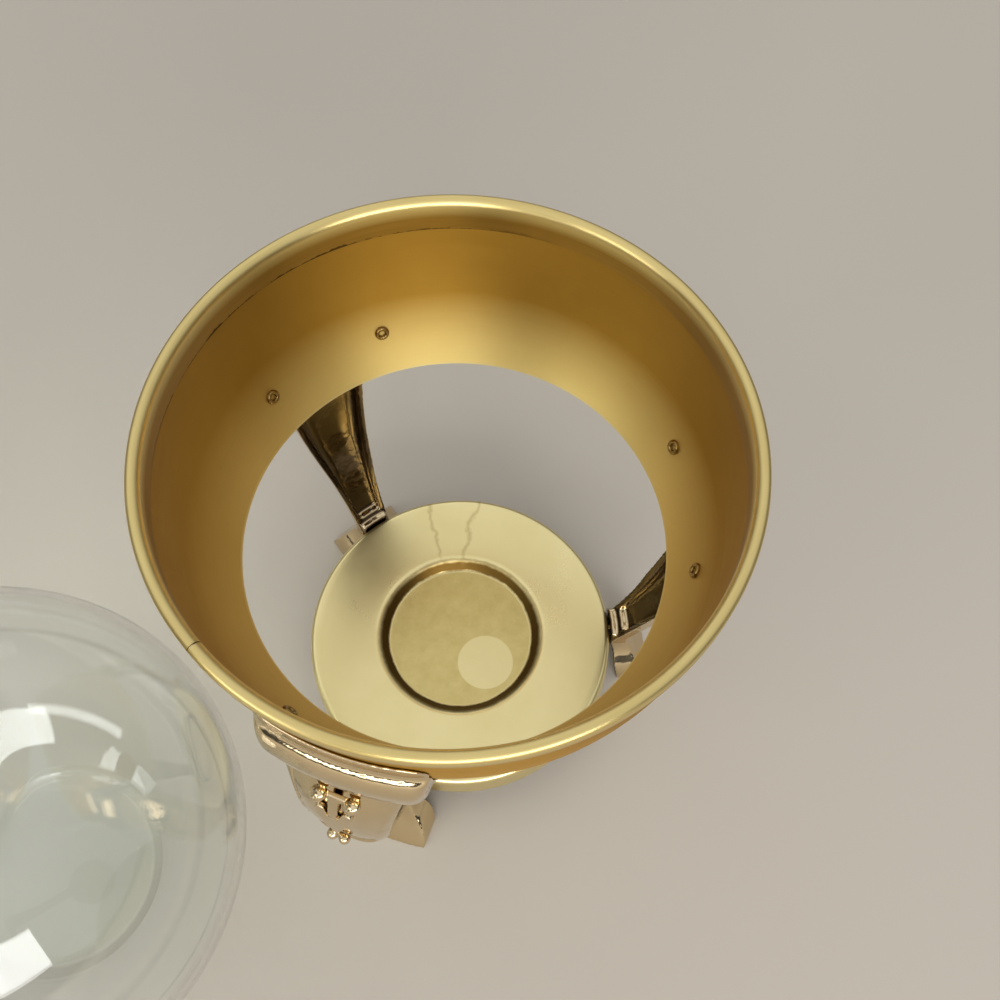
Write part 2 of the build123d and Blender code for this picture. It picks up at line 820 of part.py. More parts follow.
# Lid bracket: leaf on the brim, two lugs astride the hinge plate and a thumb tab
with BuildPart() as lid_bracket:
    with BuildSketch(level_plane(carafe_base, leaf_bottom)):
        with Locations(((leaf_start + leaf_end) / 2, 0)):
            RectangleRounded(leaf_end - leaf_start, leaf_width, leaf_corner)
    extrude(amount=leaf_thickness)
    with BuildSketch(carafe_section.offset(lug_inside), carafe_section.offset(-lug_inside - lug_thickness)):
        with Locations(hinge_place):
            Circle(eye_radius)
            with PolarLocations(thumb_start, 1, thumb_angle):
                Rectangle(eye_radius, leaf_thickness)
        with Locations(((lid_radius + slip + leaf_end) / 2, leaf_bottom + leaf_thickness / 2)):
            Rectangle(leaf_end - lid_radius - slip, leaf_thickness)
        make_hull()
    extrude(amount=lug_thickness)
    with BuildSketch(carafe_section):
        with Locations(hinge_place):
            with PolarLocations(thumb_start + thumb_length / 2, 1, thumb_angle):
                Rectangle(thumb_length, leaf_thickness)
    extrude(amount=leaf_width / 2, both=True)
    with BuildSketch(carafe_section):
        with Locations(hinge_place):
            Circle(pin_radius + slip)
    extrude(amount=leaf_width, both=True, mode=Mode.SUBTRACT)
    bores(lid_rivet_places, rivet_radius + slip, 2 * leaf_thickness)
save(lid_bracket, "lid_bracket")

with BuildPart() as lid_rivets:
    rivets(lid_rivet_places, leaf_thickness + lid_sheet)
save(lid_rivets, "lid_rivets")

# Hinge pin, headed outside both lugs
pin_half = lug_inside + lug_thickness + slip

with BuildPart() as hinge_pin:
    with BuildSketch(carafe_section.offset(-pin_half)):
        with Locations(hinge_place):
            Circle(pin_radius)
    extrude(amount=2 * pin_half)
    with BuildSketch(carafe_section.offset(pin_half), carafe_section.offset(-pin_half - pin_head_height)):
        with Locations(hinge_place):
            Circle(pin_head_radius)
    extrude(amount=pin_head_height)
save(hinge_pin, "hinge_pin")

# Knob and its screw from under the dome
knob_foot = lid_top + lid_rise + slip
knob_foot_top = (knob_foot_radius, knob_foot + knob_foot_height)
knob_top = (0, knob_foot + knob_height)

with BuildPart() as lid_knob:
    with BuildSketch(carafe_section):
        with BuildLine():
            Polyline(knob_top, (0, knob_foot), (knob_foot_radius, knob_foot), knob_foot_top)
            Spline(
                knob_foot_top,
                (knob_neck_radius, knob_foot + knob_neck_height),
                (knob_radius, knob_foot + knob_swell_height),
                knob_top,
                tangents=((-1, 0.6), (0, 1), (0, 1), (-1, 0)),
            )
        make_face()
    revolve(axis=carafe_axis)
    bores([knob_screw_place], knob_screw_radius + slip, knob_screw_length + seat_gap)
save(lid_knob, "lid_knob")

with BuildPart() as knob_screw:
    with Locations(knob_screw_place):
        Cylinder(knob_screw_radius, knob_screw_length, align=(Align.CENTER, Align.CENTER, Align.MIN))
        Cone(
            knob_screw_radius,
            knob_screw_head_radius,
            knob_screw_head_height,
            align=(Align.CENTER, Align.CENTER, Align.MAX),
        )
save(knob_screw, "knob_screw")
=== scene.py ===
import json
from math import acos, asin, atan2, cos, degrees, exp, hypot, pi, radians, sin, sqrt

import bmesh
import bpy
from mathutils import Matrix, Vector

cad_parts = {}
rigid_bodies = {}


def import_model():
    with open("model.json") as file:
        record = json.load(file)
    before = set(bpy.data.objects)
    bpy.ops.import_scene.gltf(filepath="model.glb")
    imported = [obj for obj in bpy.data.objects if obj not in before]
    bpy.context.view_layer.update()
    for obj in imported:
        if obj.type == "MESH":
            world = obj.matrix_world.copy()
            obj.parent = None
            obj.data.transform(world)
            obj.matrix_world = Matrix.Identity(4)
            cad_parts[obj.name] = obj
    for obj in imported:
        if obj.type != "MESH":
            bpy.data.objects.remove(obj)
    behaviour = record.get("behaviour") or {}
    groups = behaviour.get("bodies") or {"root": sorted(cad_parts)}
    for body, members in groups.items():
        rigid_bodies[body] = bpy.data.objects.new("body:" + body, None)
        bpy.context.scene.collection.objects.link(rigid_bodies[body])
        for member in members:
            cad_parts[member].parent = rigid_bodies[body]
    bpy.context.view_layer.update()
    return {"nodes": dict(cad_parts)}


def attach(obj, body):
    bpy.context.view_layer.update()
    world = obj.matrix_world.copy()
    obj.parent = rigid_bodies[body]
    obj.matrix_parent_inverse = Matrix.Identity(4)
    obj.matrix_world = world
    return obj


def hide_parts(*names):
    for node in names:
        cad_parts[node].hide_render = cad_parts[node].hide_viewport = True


for thing in list(bpy.data.objects):
    bpy.data.objects.remove(thing)
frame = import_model()
nodes = frame["nodes"]
scene = bpy.context.scene
scene.view_settings.view_transform = "Standard"

mm = 0.001

# Places on the table: the stand's axis, the carafe's axis and the way that the handle points.
stand = Vector((0.0596, 0.0332, 0))
carafe = Vector((-0.0509, -0.0368, 0))
handle_angle = radians(212)

# Camera: where the photograph was taken from, above and in front of the stand, turned a little
# clockwise. The lens gives the photograph's angle of view on a square frame.
pitch, yaw, roll = radians(63.69), radians(-0.51), radians(2.01)
from_stand = Vector((0.01146, -0.10641, 0.32745))
forward = Vector((sin(yaw) * cos(pitch), cos(yaw) * cos(pitch), -sin(pitch)))
right = Vector((cos(yaw), -sin(yaw), 0))
above = right.cross(forward)
picture_right = right * cos(roll) + above * sin(roll)
picture_up = above * cos(roll) - right * sin(roll)
camera_data = bpy.data.cameras.new("camera")
camera_data.lens = 38.63
camera_data.sensor_width = 36
camera_data.clip_start = 0.01
camera = bpy.data.objects.new("camera", camera_data)
scene.collection.objects.link(camera)
turn = Matrix((picture_right, picture_up, -forward)).transposed().to_4x4()
camera.matrix_world = Matrix.Translation(stand + from_stand) @ turn
scene.camera = camera


def srgb(code, alpha=1.0):
    """An sRGB hex colour as linear RGBA."""
    parts = [int(code[i:i + 2], 16) / 255 for i in (1, 3, 5)]
    return (*(p / 12.92 if p <= 0.04045 else ((p + 0.055) / 1.055) ** 2.4 for p in parts), alpha)


def add(tree, kind, inputs=(), **settings):
    """Adds a node with its settings; inputs are values or other nodes' outputs."""
    made = tree.nodes.new(kind)
    for name, value in settings.items():
        setattr(made, name, value)
    for name, value in dict(inputs).items():
        if isinstance(value, bpy.types.NodeSocket):
            tree.links.new(value, made.inputs[name])
        else:
            made.inputs[name].default_value = value
    return made


def finish_of(name):
    """A new material's node tree with its Principled shader."""
    material = bpy.data.materials.new(name)
    material.use_nodes = True
    return material, material.node_tree, material.node_tree.nodes["Principled BSDF"]


# Floor and light: a plain pale matt table top under four soft lamps, in a pale room. The room is
# darker towards the horizon and a little brighter on the left, so that the polished metal has
# something to show. Seen directly or through glass, it is never darker than a pale grey.
def table_top():
    reach, patch_width = 4.0, 0.333
    corners = [(-reach, -reach, 0), (reach, -reach, 0), (reach, reach, 0), (-reach, reach, 0)]
    mesh = bpy.data.meshes.new("table_top")
    mesh.from_pydata(corners, [], [(0, 1, 2, 3)])
    floor = bpy.data.objects.new("table_top", mesh)
    scene.collection.objects.link(floor)
    material, tree, shader = finish_of("matt_table_top")
    grain = add(tree, "ShaderNodeTexNoise", {
        "Vector": add(tree, "ShaderNodeTexCoord").outputs["Object"], "Scale": 1 / patch_width,
        "Detail": 3.0})
    tint = add(tree, "ShaderNodeMix", {
        "Factor": grain.outputs["Fac"], 6: srgb("#c1b8aa"), 7: srgb("#bab1a3")}, data_type="RGBA")
    tree.links.new(tint.outputs[2], shader.inputs["Base Color"])
    shader.inputs["Roughness"].default_value = 0.8
    mesh.materials.append(material)


def lamp(name, place, aim, width, height, watts):
    data = bpy.data.lights.new(name, "AREA")
    data.shape = "RECTANGLE"
    data.size, data.size_y, data.energy = width, height, watts
    made = bpy.data.objects.new(name, data)
    scene.collection.objects.link(made)
    direction = Vector(place) - Vector(aim)
    made.matrix_world = Matrix.Translation(place) @ direction.to_track_quat("Z", "Y").to_matrix().to_4x4()


table_top()
lamp("front_window", (0.35, -1.2, 0.55), (0.05, 0, 0.05), width=1.2, height=0.5, watts=12.6)
lamp("left_window", (-0.95, -0.75, 0.7), (0, 0, 0.05), width=0.6, height=0.4, watts=2.8)
lamp("back_window", (-0.3, 1.3, 1.0), (0, 0, 0.05), width=0.9, height=0.3, watts=0.5)
lamp("low_card", (-0.45, -1.15, 0.3), (0, 0, 0.08), width=0.9, height=0.12, watts=1.5)

# The room's directions and tones: how high a direction points, from 0 at the horizon to 1 overhead,
# how far to the side, and how bright the room is there
horizon, overhead, horizon_tone = 0.15, 0.72, 0.06
side, left_tone, right_tone = 0.6, 1.1, 0.8
least_seen = 0.45
world = bpy.data.worlds.new("room")
world.use_nodes = True
scene.world = world
room = world.node_tree
way = add(room, "ShaderNodeSeparateXYZ", {"Vector": add(room, "ShaderNodeTexCoord").outputs["Generated"]})
bright = add(room, "ShaderNodeMapRange", {
    "Value": way.outputs["Z"], "From Min": horizon, "From Max": overhead,
    "To Min": horizon_tone, "To Max": 1.0})
leftwards = add(room, "ShaderNodeMapRange", {
    "Value": way.outputs["X"], "From Min": -side, "From Max": side,
    "To Min": left_tone, "To Max": right_tone})
tilted = add(room, "ShaderNodeMath", {
    0: bright.outputs["Result"], 1: leftwards.outputs["Result"]}, operation="MULTIPLY")
ray = add(room, "ShaderNodeLightPath")
looking = add(room, "ShaderNodeMath", {
    0: ray.outputs["Is Transmission Ray"], 1: ray.outputs["Is Camera Ray"]}, operation="MAXIMUM")
through = add(room, "ShaderNodeMath", {0: looking.outputs["Value"], 1: least_seen}, operation="MULTIPLY")
seen = add(room, "ShaderNodeMath", {
    0: tilted.outputs["Value"], 1: through.outputs["Value"]}, operation="MAXIMUM")
shade = add(room, "ShaderNodeMix", {
    "Factor": seen.outputs["Value"], 6: srgb("#000000"), 7: srgb("#f4f6fa")}, data_type="RGBA")
room.links.new(shade.outputs[2], room.nodes["Background"].inputs["Color"])


# Collar: brass sheet, spun straight below the rim and then on a ball's curve in to the hole. It is
# satin, with fine rings from the spinning. The hole's cut edge is worn bright. The wall above it is
# painted brighter, partly wear and partly a painted highlight, which is strongest at the back.
def arc(centre, radius, first, last, steps):
    """Points of an arc in the half section, angles in degrees from outwards."""
    turns = [radians(first + (last - first) * i / steps) for i in range(steps + 1)]
    return [(centre[0] + radius * cos(turn), centre[1] + radius * sin(turn)) for turn in turns]


def sheet(line, thickness, caps=6):
    """Closed outline of a sheet whose face is the line, with its thickness on the left and round edges."""
    line = [Vector(p) for p in line]
    normals = []
    for i in range(len(line)):
        along = (line[min(i + 1, len(line) - 1)] - line[max(i - 1, 0)]).normalized()
        normals.append(Vector((-along.y, along.x)))
    half = thickness / 2
    face, back = [], []
    for i, (point, normal) in enumerate(zip(line, normals)):
        sharp = 1.0
        if 0 < i < len(line) - 1:
            before = (line[i] - line[i - 1]).normalized()
            sharp = max(0.5, abs(Vector((-before.y, before.x)).dot(normal)))
        face.append(point)
        back.append(point + normal * thickness / sharp)

    def cap(point, normal, outwards):
        middle = point + normal * half
        return [middle + outwards * half * sin(pi * i / caps) - normal * half * cos(pi * i / caps)
                for i in range(1, caps)]

    start_out = (line[0] - line[1]).normalized()
    end_out = (line[-1] - line[-2]).normalized()
    end_cap = cap(line[-1], normals[-1], end_out)
    start_cap = cap(line[0], normals[0], start_out)
    return [tuple(p) for p in face + end_cap + back[::-1] + start_cap[::-1]]


crease = radians(40)
merge_distance, no_area = 1e-6, 1e-13


def spun(name, outline, centre, body, steps=256, first=0.0, sweep=360.0, reach=None):
    """A solid of revolution of a closed half section in mm, on a vertical axis."""
    whole = sweep >= 360
    work = bmesh.new()
    count = steps if whole else steps + 1
    rings = []
    for i in range(count):
        a = radians(first + sweep * i / steps)
        ring = []
        for radius, level in outline:
            out = reach(radius, level, a) if reach else radius
            place = (centre.x + out * mm * cos(a), centre.y + out * mm * sin(a), level * mm)
            ring.append(work.verts.new(place))
        rings.append(ring)
    last = count if whole else count - 1
    for i in range(last):
        one, two = rings[i], rings[(i + 1) % count]
        for j in range(len(outline)):
            k = (j + 1) % len(outline)
            work.faces.new((one[j], one[k], two[k], two[j]))
    if not whole:
        work.faces.new(rings[0][::-1])
        work.faces.new(rings[-1])
    bmesh.ops.remove_doubles(work, verts=work.verts, dist=merge_distance)
    flat = [f for f in work.faces if f.calc_area() < no_area]
    bmesh.ops.delete(work, geom=flat, context="FACES_ONLY")
    bmesh.ops.recalc_face_normals(work, faces=work.faces)
    mesh = bpy.data.meshes.new(name)
    work.to_mesh(mesh)
    work.free()
    for face in mesh.polygons:
        face.use_smooth = True
    mesh.set_sharp_from_angle(angle=crease)
    piece = bpy.data.objects.new(name, mesh)
    scene.collection.objects.link(piece)
    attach(piece, body)
    return piece


rim_top, wall_radius, curve_top = 138.6, 62.6, 124.8
hole_radius, straight_wall, collar_sheet = 51.3, 12.1, 0.8
collar_line = arc((0, curve_top), wall_radius, -degrees(acos(hole_radius / wall_radius)), 0, 60)
collar_line += [(wall_radius, curve_top + straight_wall * i / 6) for i in range(1, 7)]
collar = spun("collar_spun", sheet(collar_line, -collar_sheet), stand, "stand", steps=288)


def ring_lines(tree, centre, across, along):
    """Noise drawn out in rings round a vertical axis, in lines across mm apart and along degrees long.
    Gives the noise, the place from the axis and the level."""
    place = add(tree, "ShaderNodeVectorMath", {
        0: add(tree, "ShaderNodeTexCoord").outputs["Object"], 1: tuple(centre)}, operation="SUBTRACT")
    parts = add(tree, "ShaderNodeSeparateXYZ", {"Vector": place.outputs["Vector"]})
    flat = add(tree, "ShaderNodeCombineXYZ", {"X": parts.outputs["X"], "Y": parts.outputs["Y"]})
    radius = add(tree, "ShaderNodeVectorMath", {0: flat.outputs["Vector"]}, operation="LENGTH")
    angle = add(tree, "ShaderNodeMath", {0: parts.outputs["Y"], 1: parts.outputs["X"]}, operation="ARCTAN2")
    out = add(tree, "ShaderNodeMath", {0: radius.outputs["Value"], 1: 1000 / across}, operation="MULTIPLY")
    up = add(tree, "ShaderNodeMath", {0: parts.outputs["Z"], 1: 1000 / across}, operation="MULTIPLY")
    round_it = add(tree, "ShaderNodeMath", {
        0: angle.outputs["Value"], 1: degrees(1) / along}, operation="MULTIPLY")
    drawn = add(tree, "ShaderNodeCombineXYZ", {
        "X": out.outputs["Value"], "Y": up.outputs["Value"], "Z": round_it.outputs["Value"]})
    noise = add(tree, "ShaderNodeTexNoise", {"Vector": drawn.outputs["Vector"], "Scale": 1.0, "Detail": 2.0})
    return noise.outputs["Fac"], place.outputs["Vector"], parts.outputs["Z"]


def spun_shine(tree, shader, place):
    """Polished metal whose highlights are drawn out across the rings that the spinning left."""
    along = add(tree, "ShaderNodeVectorMath", {0: (0, 0, 1), 1: place}, operation="CROSS_PRODUCT")
    tree.links.new(along.outputs["Vector"], shader.inputs["Tangent"])
    shader.inputs["Anisotropic"].default_value = 0.7
    shader.inputs["Anisotropic Rotation"].default_value = 0.25
    shader.inputs["Metallic"].default_value = 1.0


def marks(tree, place, spacing, core, strength, bare_share):
    """Small round marks at random, one to each cell spacing mm wide apart from a bare share of the cells.
    A mark is solid out to its core and ends at 0.05, both shares of the spacing."""
    cells = add(tree, "ShaderNodeTexVoronoi", {"Vector": place, "Scale": 1 / (spacing * mm)})
    spot = add(tree, "ShaderNodeMapRange", {
        "Value": cells.outputs["Distance"], "From Min": core, "From Max": 0.05,
        "To Min": strength, "To Max": 0.0})
    pick = add(tree, "ShaderNodeSeparateColor", {"Color": cells.outputs["Color"]})
    chosen = add(tree, "ShaderNodeMath", {0: pick.outputs["Red"], 1: bare_share}, operation="GREATER_THAN")
    mark = add(tree, "ShaderNodeMath", {
        0: spot.outputs["Result"], 1: chosen.outputs["Value"]}, operation="MULTIPLY")
    return mark.outputs["Value"]


# The collar's finish in mm: the width of the cloudy tone, the levels between which the wall's wear and
# painted highlight and the edge's brightness fade out, and the places on the way to the back between which
# the painted highlight grows
collar_cloud = 28.6
brightened_level, unbrightened_level = 90.0, 108.0
edge_bottom, edge_top = 88.6, 89.6
to_the_back, back_highlight_grows, back_highlight_full = (0.3, 0.95, 0), -20.0, 45.0


def satin_brass():
    """Satin spun brass: soft cloudy colour, fine rings, a few dark spots, the worn edge, and the wall low
    down painted brighter for wear and a painted highlight.
    """
    material, tree, shader = finish_of("satin_spun_brass")
    rings, place, level = ring_lines(tree, stand, across=0.5, along=25)
    cloud = add(tree, "ShaderNodeTexNoise", {
        "Vector": place, "Scale": 1 / (collar_cloud * mm), "Detail": 4.0, "Roughness": 0.6})
    tone = add(tree, "ShaderNodeMix", {
        "Factor": cloud.outputs["Fac"], 6: srgb("#b68d3a"), 7: srgb("#a2792c")}, data_type="RGBA")
    # Wear and painted highlight: the wall is painted brighter low down, and the painted highlight grows
    # towards the back
    low_down = add(tree, "ShaderNodeMapRange", {
        "Value": level, "From Min": brightened_level * mm, "From Max": unbrightened_level * mm,
        "To Min": 1.0, "To Max": 0.0})
    backwards = add(tree, "ShaderNodeVectorMath", {0: place, 1: to_the_back}, operation="DOT_PRODUCT")
    at_back = add(tree, "ShaderNodeMapRange", {
        "Value": backwards.outputs["Value"], "From Min": back_highlight_grows * mm, "From Max": back_highlight_full * mm,
        "To Min": 0.35, "To Max": 1.0})
    wear_and_highlight = add(tree, "ShaderNodeMath", {
        0: low_down.outputs["Result"], 1: at_back.outputs["Result"]}, operation="MULTIPLY")
    spots = marks(tree, place, spacing=26.3, core=0.03, strength=0.75, bare_share=0.8)
    edge = add(tree, "ShaderNodeMapRange", {
        "Value": level, "From Min": edge_bottom * mm, "From Max": edge_top * mm,
        "To Min": 1.0, "To Max": 0.0})
    # Layers over the tone: wear with a painted highlight, tarnish spots, and the worn edge
    layers = [(wear_and_highlight.outputs["Value"], "#f5db8a"), (spots, "#4a3216"), (edge.outputs["Result"], "#f0dfa2")]
    for share, paint in layers:
        tone = add(tree, "ShaderNodeMix", {
            "Factor": share, 6: tone.outputs[2], 7: srgb(paint)}, data_type="RGBA")
    tree.links.new(tone.outputs[2], shader.inputs["Base Color"])
    rough = add(tree, "ShaderNodeMapRange", {"Value": rings, "To Min": 0.4, "To Max": 0.52})
    tree.links.new(rough.outputs["Result"], shader.inputs["Roughness"])
    bump = add(tree, "ShaderNodeBump", {"Height": rings, "Strength": 0.06, "Distance": 0.0002})
    tree.links.new(bump.outputs["Normal"], shader.inputs["Normal"])
    spun_shine(tree, shader, place)
    return material


collar.data.materials.append(satin_brass())
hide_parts("collar")

# Rim trim: brass strip rolled to a channel over the collar's lip, its ends meeting in a butt seam.
# The roll's top is painted brighter, a painted highlight. Inside, its lower edge is tarnished at the left
# back.
trim_inner, rim_radius, trim_sheet = 62.0, 65.0, 0.5
trim_skirt, inner_straight, outer_straight, outer_drop = 9.0, 2.2, 2.4, 3.8
inner_corner, outer_corner, crown = 1.8, 1.1, 0.1
seam_gap, seam_angle = 0.3, 225.4
trim_line = [(trim_inner, rim_top - trim_skirt + (trim_skirt - inner_straight) * i / 6) for i in range(7)]
trim_line += arc((trim_inner + inner_corner, rim_top - crown - inner_corner), inner_corner, 180, 96, 10)
trim_line += arc((rim_radius - outer_corner, rim_top - crown - outer_corner), outer_corner, 84, 0, 12)
trim_line += [(rim_radius, rim_top - outer_straight), (rim_radius, rim_top - outer_drop)]
seam = degrees(seam_gap / rim_radius)
rim_trim = spun("rim_trim_rolled", sheet(trim_line, -trim_sheet), stand, "stand", steps=320,
                first=seam_angle + seam / 2, sweep=360 - seam)

# The trim's finish in mm: the width of the stains, the levels between which they thin out, the places
# on the way to the left back between which they come in, and the levels where the roll's painted highlight
# begins and ends
stain_width = 11.1
stained_level, clean_level = 129.6, 131.2
to_the_left_back, stains_start, stains_full = (-0.62, 0.78, 0), 30.0, 58.0
roll_highlight_start, roll_highlight_full = 133.5, 136.6


def rim_brass():
    """Rolled brass: satin inside like the wall, a painted highlight over the roll, tarnished along the lower
    edge.
    """
    material, tree, shader = finish_of("polished_rim_brass")
    rings, place, level = ring_lines(tree, stand, across=0.7, along=12)
    cloud = add(tree, "ShaderNodeTexNoise", {
        "Vector": place, "Scale": 1 / (stain_width * mm), "Detail": 6.0, "Roughness": 0.7})
    low = add(tree, "ShaderNodeMapRange", {
        "Value": level, "From Min": stained_level * mm, "From Max": clean_level * mm,
        "To Min": 0.2, "To Max": -0.16})
    stain = add(tree, "ShaderNodeMath", {0: cloud.outputs["Fac"], 1: low.outputs["Result"]}, operation="ADD")
    left_back = add(tree, "ShaderNodeVectorMath", {0: place, 1: to_the_left_back}, operation="DOT_PRODUCT")
    where = add(tree, "ShaderNodeMapRange", {
        "Value": left_back.outputs["Value"], "From Min": stains_start * mm, "From Max": stains_full * mm})
    patches = add(tree, "ShaderNodeMapRange", {
        "Value": stain.outputs["Value"], "From Min": 0.58, "From Max": 0.64, "To Min": 0.0, "To Max": 0.85})
    patch = add(tree, "ShaderNodeMath", {
        0: patches.outputs["Result"], 1: where.outputs["Result"]}, operation="MULTIPLY")
    # Painted highlight: the roll's top is painted brighter than the satin skirt below it
    roll_highlight = add(tree, "ShaderNodeMapRange", {
        "Value": level, "From Min": roll_highlight_start * mm, "From Max": roll_highlight_full * mm,
        "To Min": 0.0, "To Max": 1.0})
    satin = add(tree, "ShaderNodeMix", {
        "Factor": rings, 6: srgb("#ad8740"), 7: srgb("#997430")}, data_type="RGBA")
    bright = add(tree, "ShaderNodeMix", {
        "Factor": rings, 6: srgb("#e4cf8e"), 7: srgb("#d2b974")}, data_type="RGBA")
    tone = add(tree, "ShaderNodeMix", {
        "Factor": roll_highlight.outputs["Result"], 6: satin.outputs[2], 7: bright.outputs[2]}, data_type="RGBA")
    with_tarnish = add(tree, "ShaderNodeMix", {
        "Factor": patch.outputs["Value"], 6: tone.outputs[2], 7: srgb("#3a2510")}, data_type="RGBA")
    tree.links.new(with_tarnish.outputs[2], shader.inputs["Base Color"])
    rough = add(tree, "ShaderNodeMapRange", {"Value": patch.outputs["Value"], "To Min": 0.32, "To Max": 0.55})
    tree.links.new(rough.outputs["Result"], shader.inputs["Roughness"])
    spun_shine(tree, shader, place)
    return material


rim_trim.data.materials.append(rim_brass())
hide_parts("rim_trim")


# Dish: pressed brass plate with a round recess for the candle and a skirt turned down over the legs.
# Pale satin face with a dried water mark, small pits, and a worn floor in the recess, with a painted
# reflection on that floor and painted shade over the recess's wall.
def rounded(points, steps=8):
    """An open line whose corners (x, y, radius) are rounded."""
    line = [points[0][:2]]
    for before, corner, after in zip(points, points[1:], points[2:]):
        c = Vector(corner[:2])
        one = (Vector(before[:2]) - c).normalized()
        two = (Vector(after[:2]) - c).normalized()
        half = one.angle(two) / 2
        back = corner[2] / (sin(half) / cos(half))
        middle = c + (one + two).normalized() * corner[2] / sin(half)
        start, end = c + one * back - middle, c + two * back - middle
        turned = atan2(start.x * end.y - start.y * end.x, start.dot(end))
        for i in range(steps + 1):
            a = turned * i / steps
            line.append((middle.x + start.x * cos(a) - start.y * sin(a),
                         middle.y + start.x * sin(a) + start.y * cos(a)))
    line.append(points[-1][:2])
    return line


def divided(line, longest):
    """The line with its long runs divided evenly."""
    made = [line[0]]
    for a, b in zip(line, line[1:]):
        run, rise = b[0] - a[0], b[1] - a[1]
        parts = max(1, int(hypot(run, rise) / longest))
        made += [(a[0] + run * i / parts, a[1] + rise * i / parts) for i in range(1, parts + 1)]
    return made


dish_face, recess_floor, skirt_end = 21.5, 18.1, 12.9
recess_foot, recess_rim, dish_edge, skirt_radius = 21.5, 24.1, 44.6, 45.2
recess_corner, recess_shoulder, edge_round = 1.0, 3.0, 1.6
dish_sheet, longest_run = 0.8, 1.5
dish_line = rounded([(0, recess_floor, 0), (recess_foot, recess_floor, recess_corner),
                     (recess_rim, dish_face, recess_shoulder), (dish_edge, dish_face, edge_round),
                     (skirt_radius, skirt_end, 0)])
dish_outline = sheet(divided(dish_line, longest_run), -dish_sheet)
dish_outline = [(max(0.0, x), y) for x, y in dish_outline]
dish = spun("dish_pressed", dish_outline, stand, "stand", steps=288)

# The dish's marks and painted light in mm: the widths of its cloudy tone and blotches and how far
# these move an edge, then the worn floor's radii, the painted reflection's place and radii and the
# painted shade's radii, then the run of water's places, where its half width is a share of the way out
dish_cloud, blotch_width, wander = 22.2, 3.85, 1.2
floor_worn, floor_end = 20.8, 21.4
reflection_place, reflection_solid, reflection_end = (7.9 * mm, -7.7 * mm, 0), 8.1, 8.4
shade_start, shade_full, shade_fades, shade_end = 21.2, 21.8, 23.2, 24.6
run_wander, run_aside, run_half_width, run_line = 12.0, -2.5, 0.16, 0.9
run_start, run_full = 22.0, 26.0


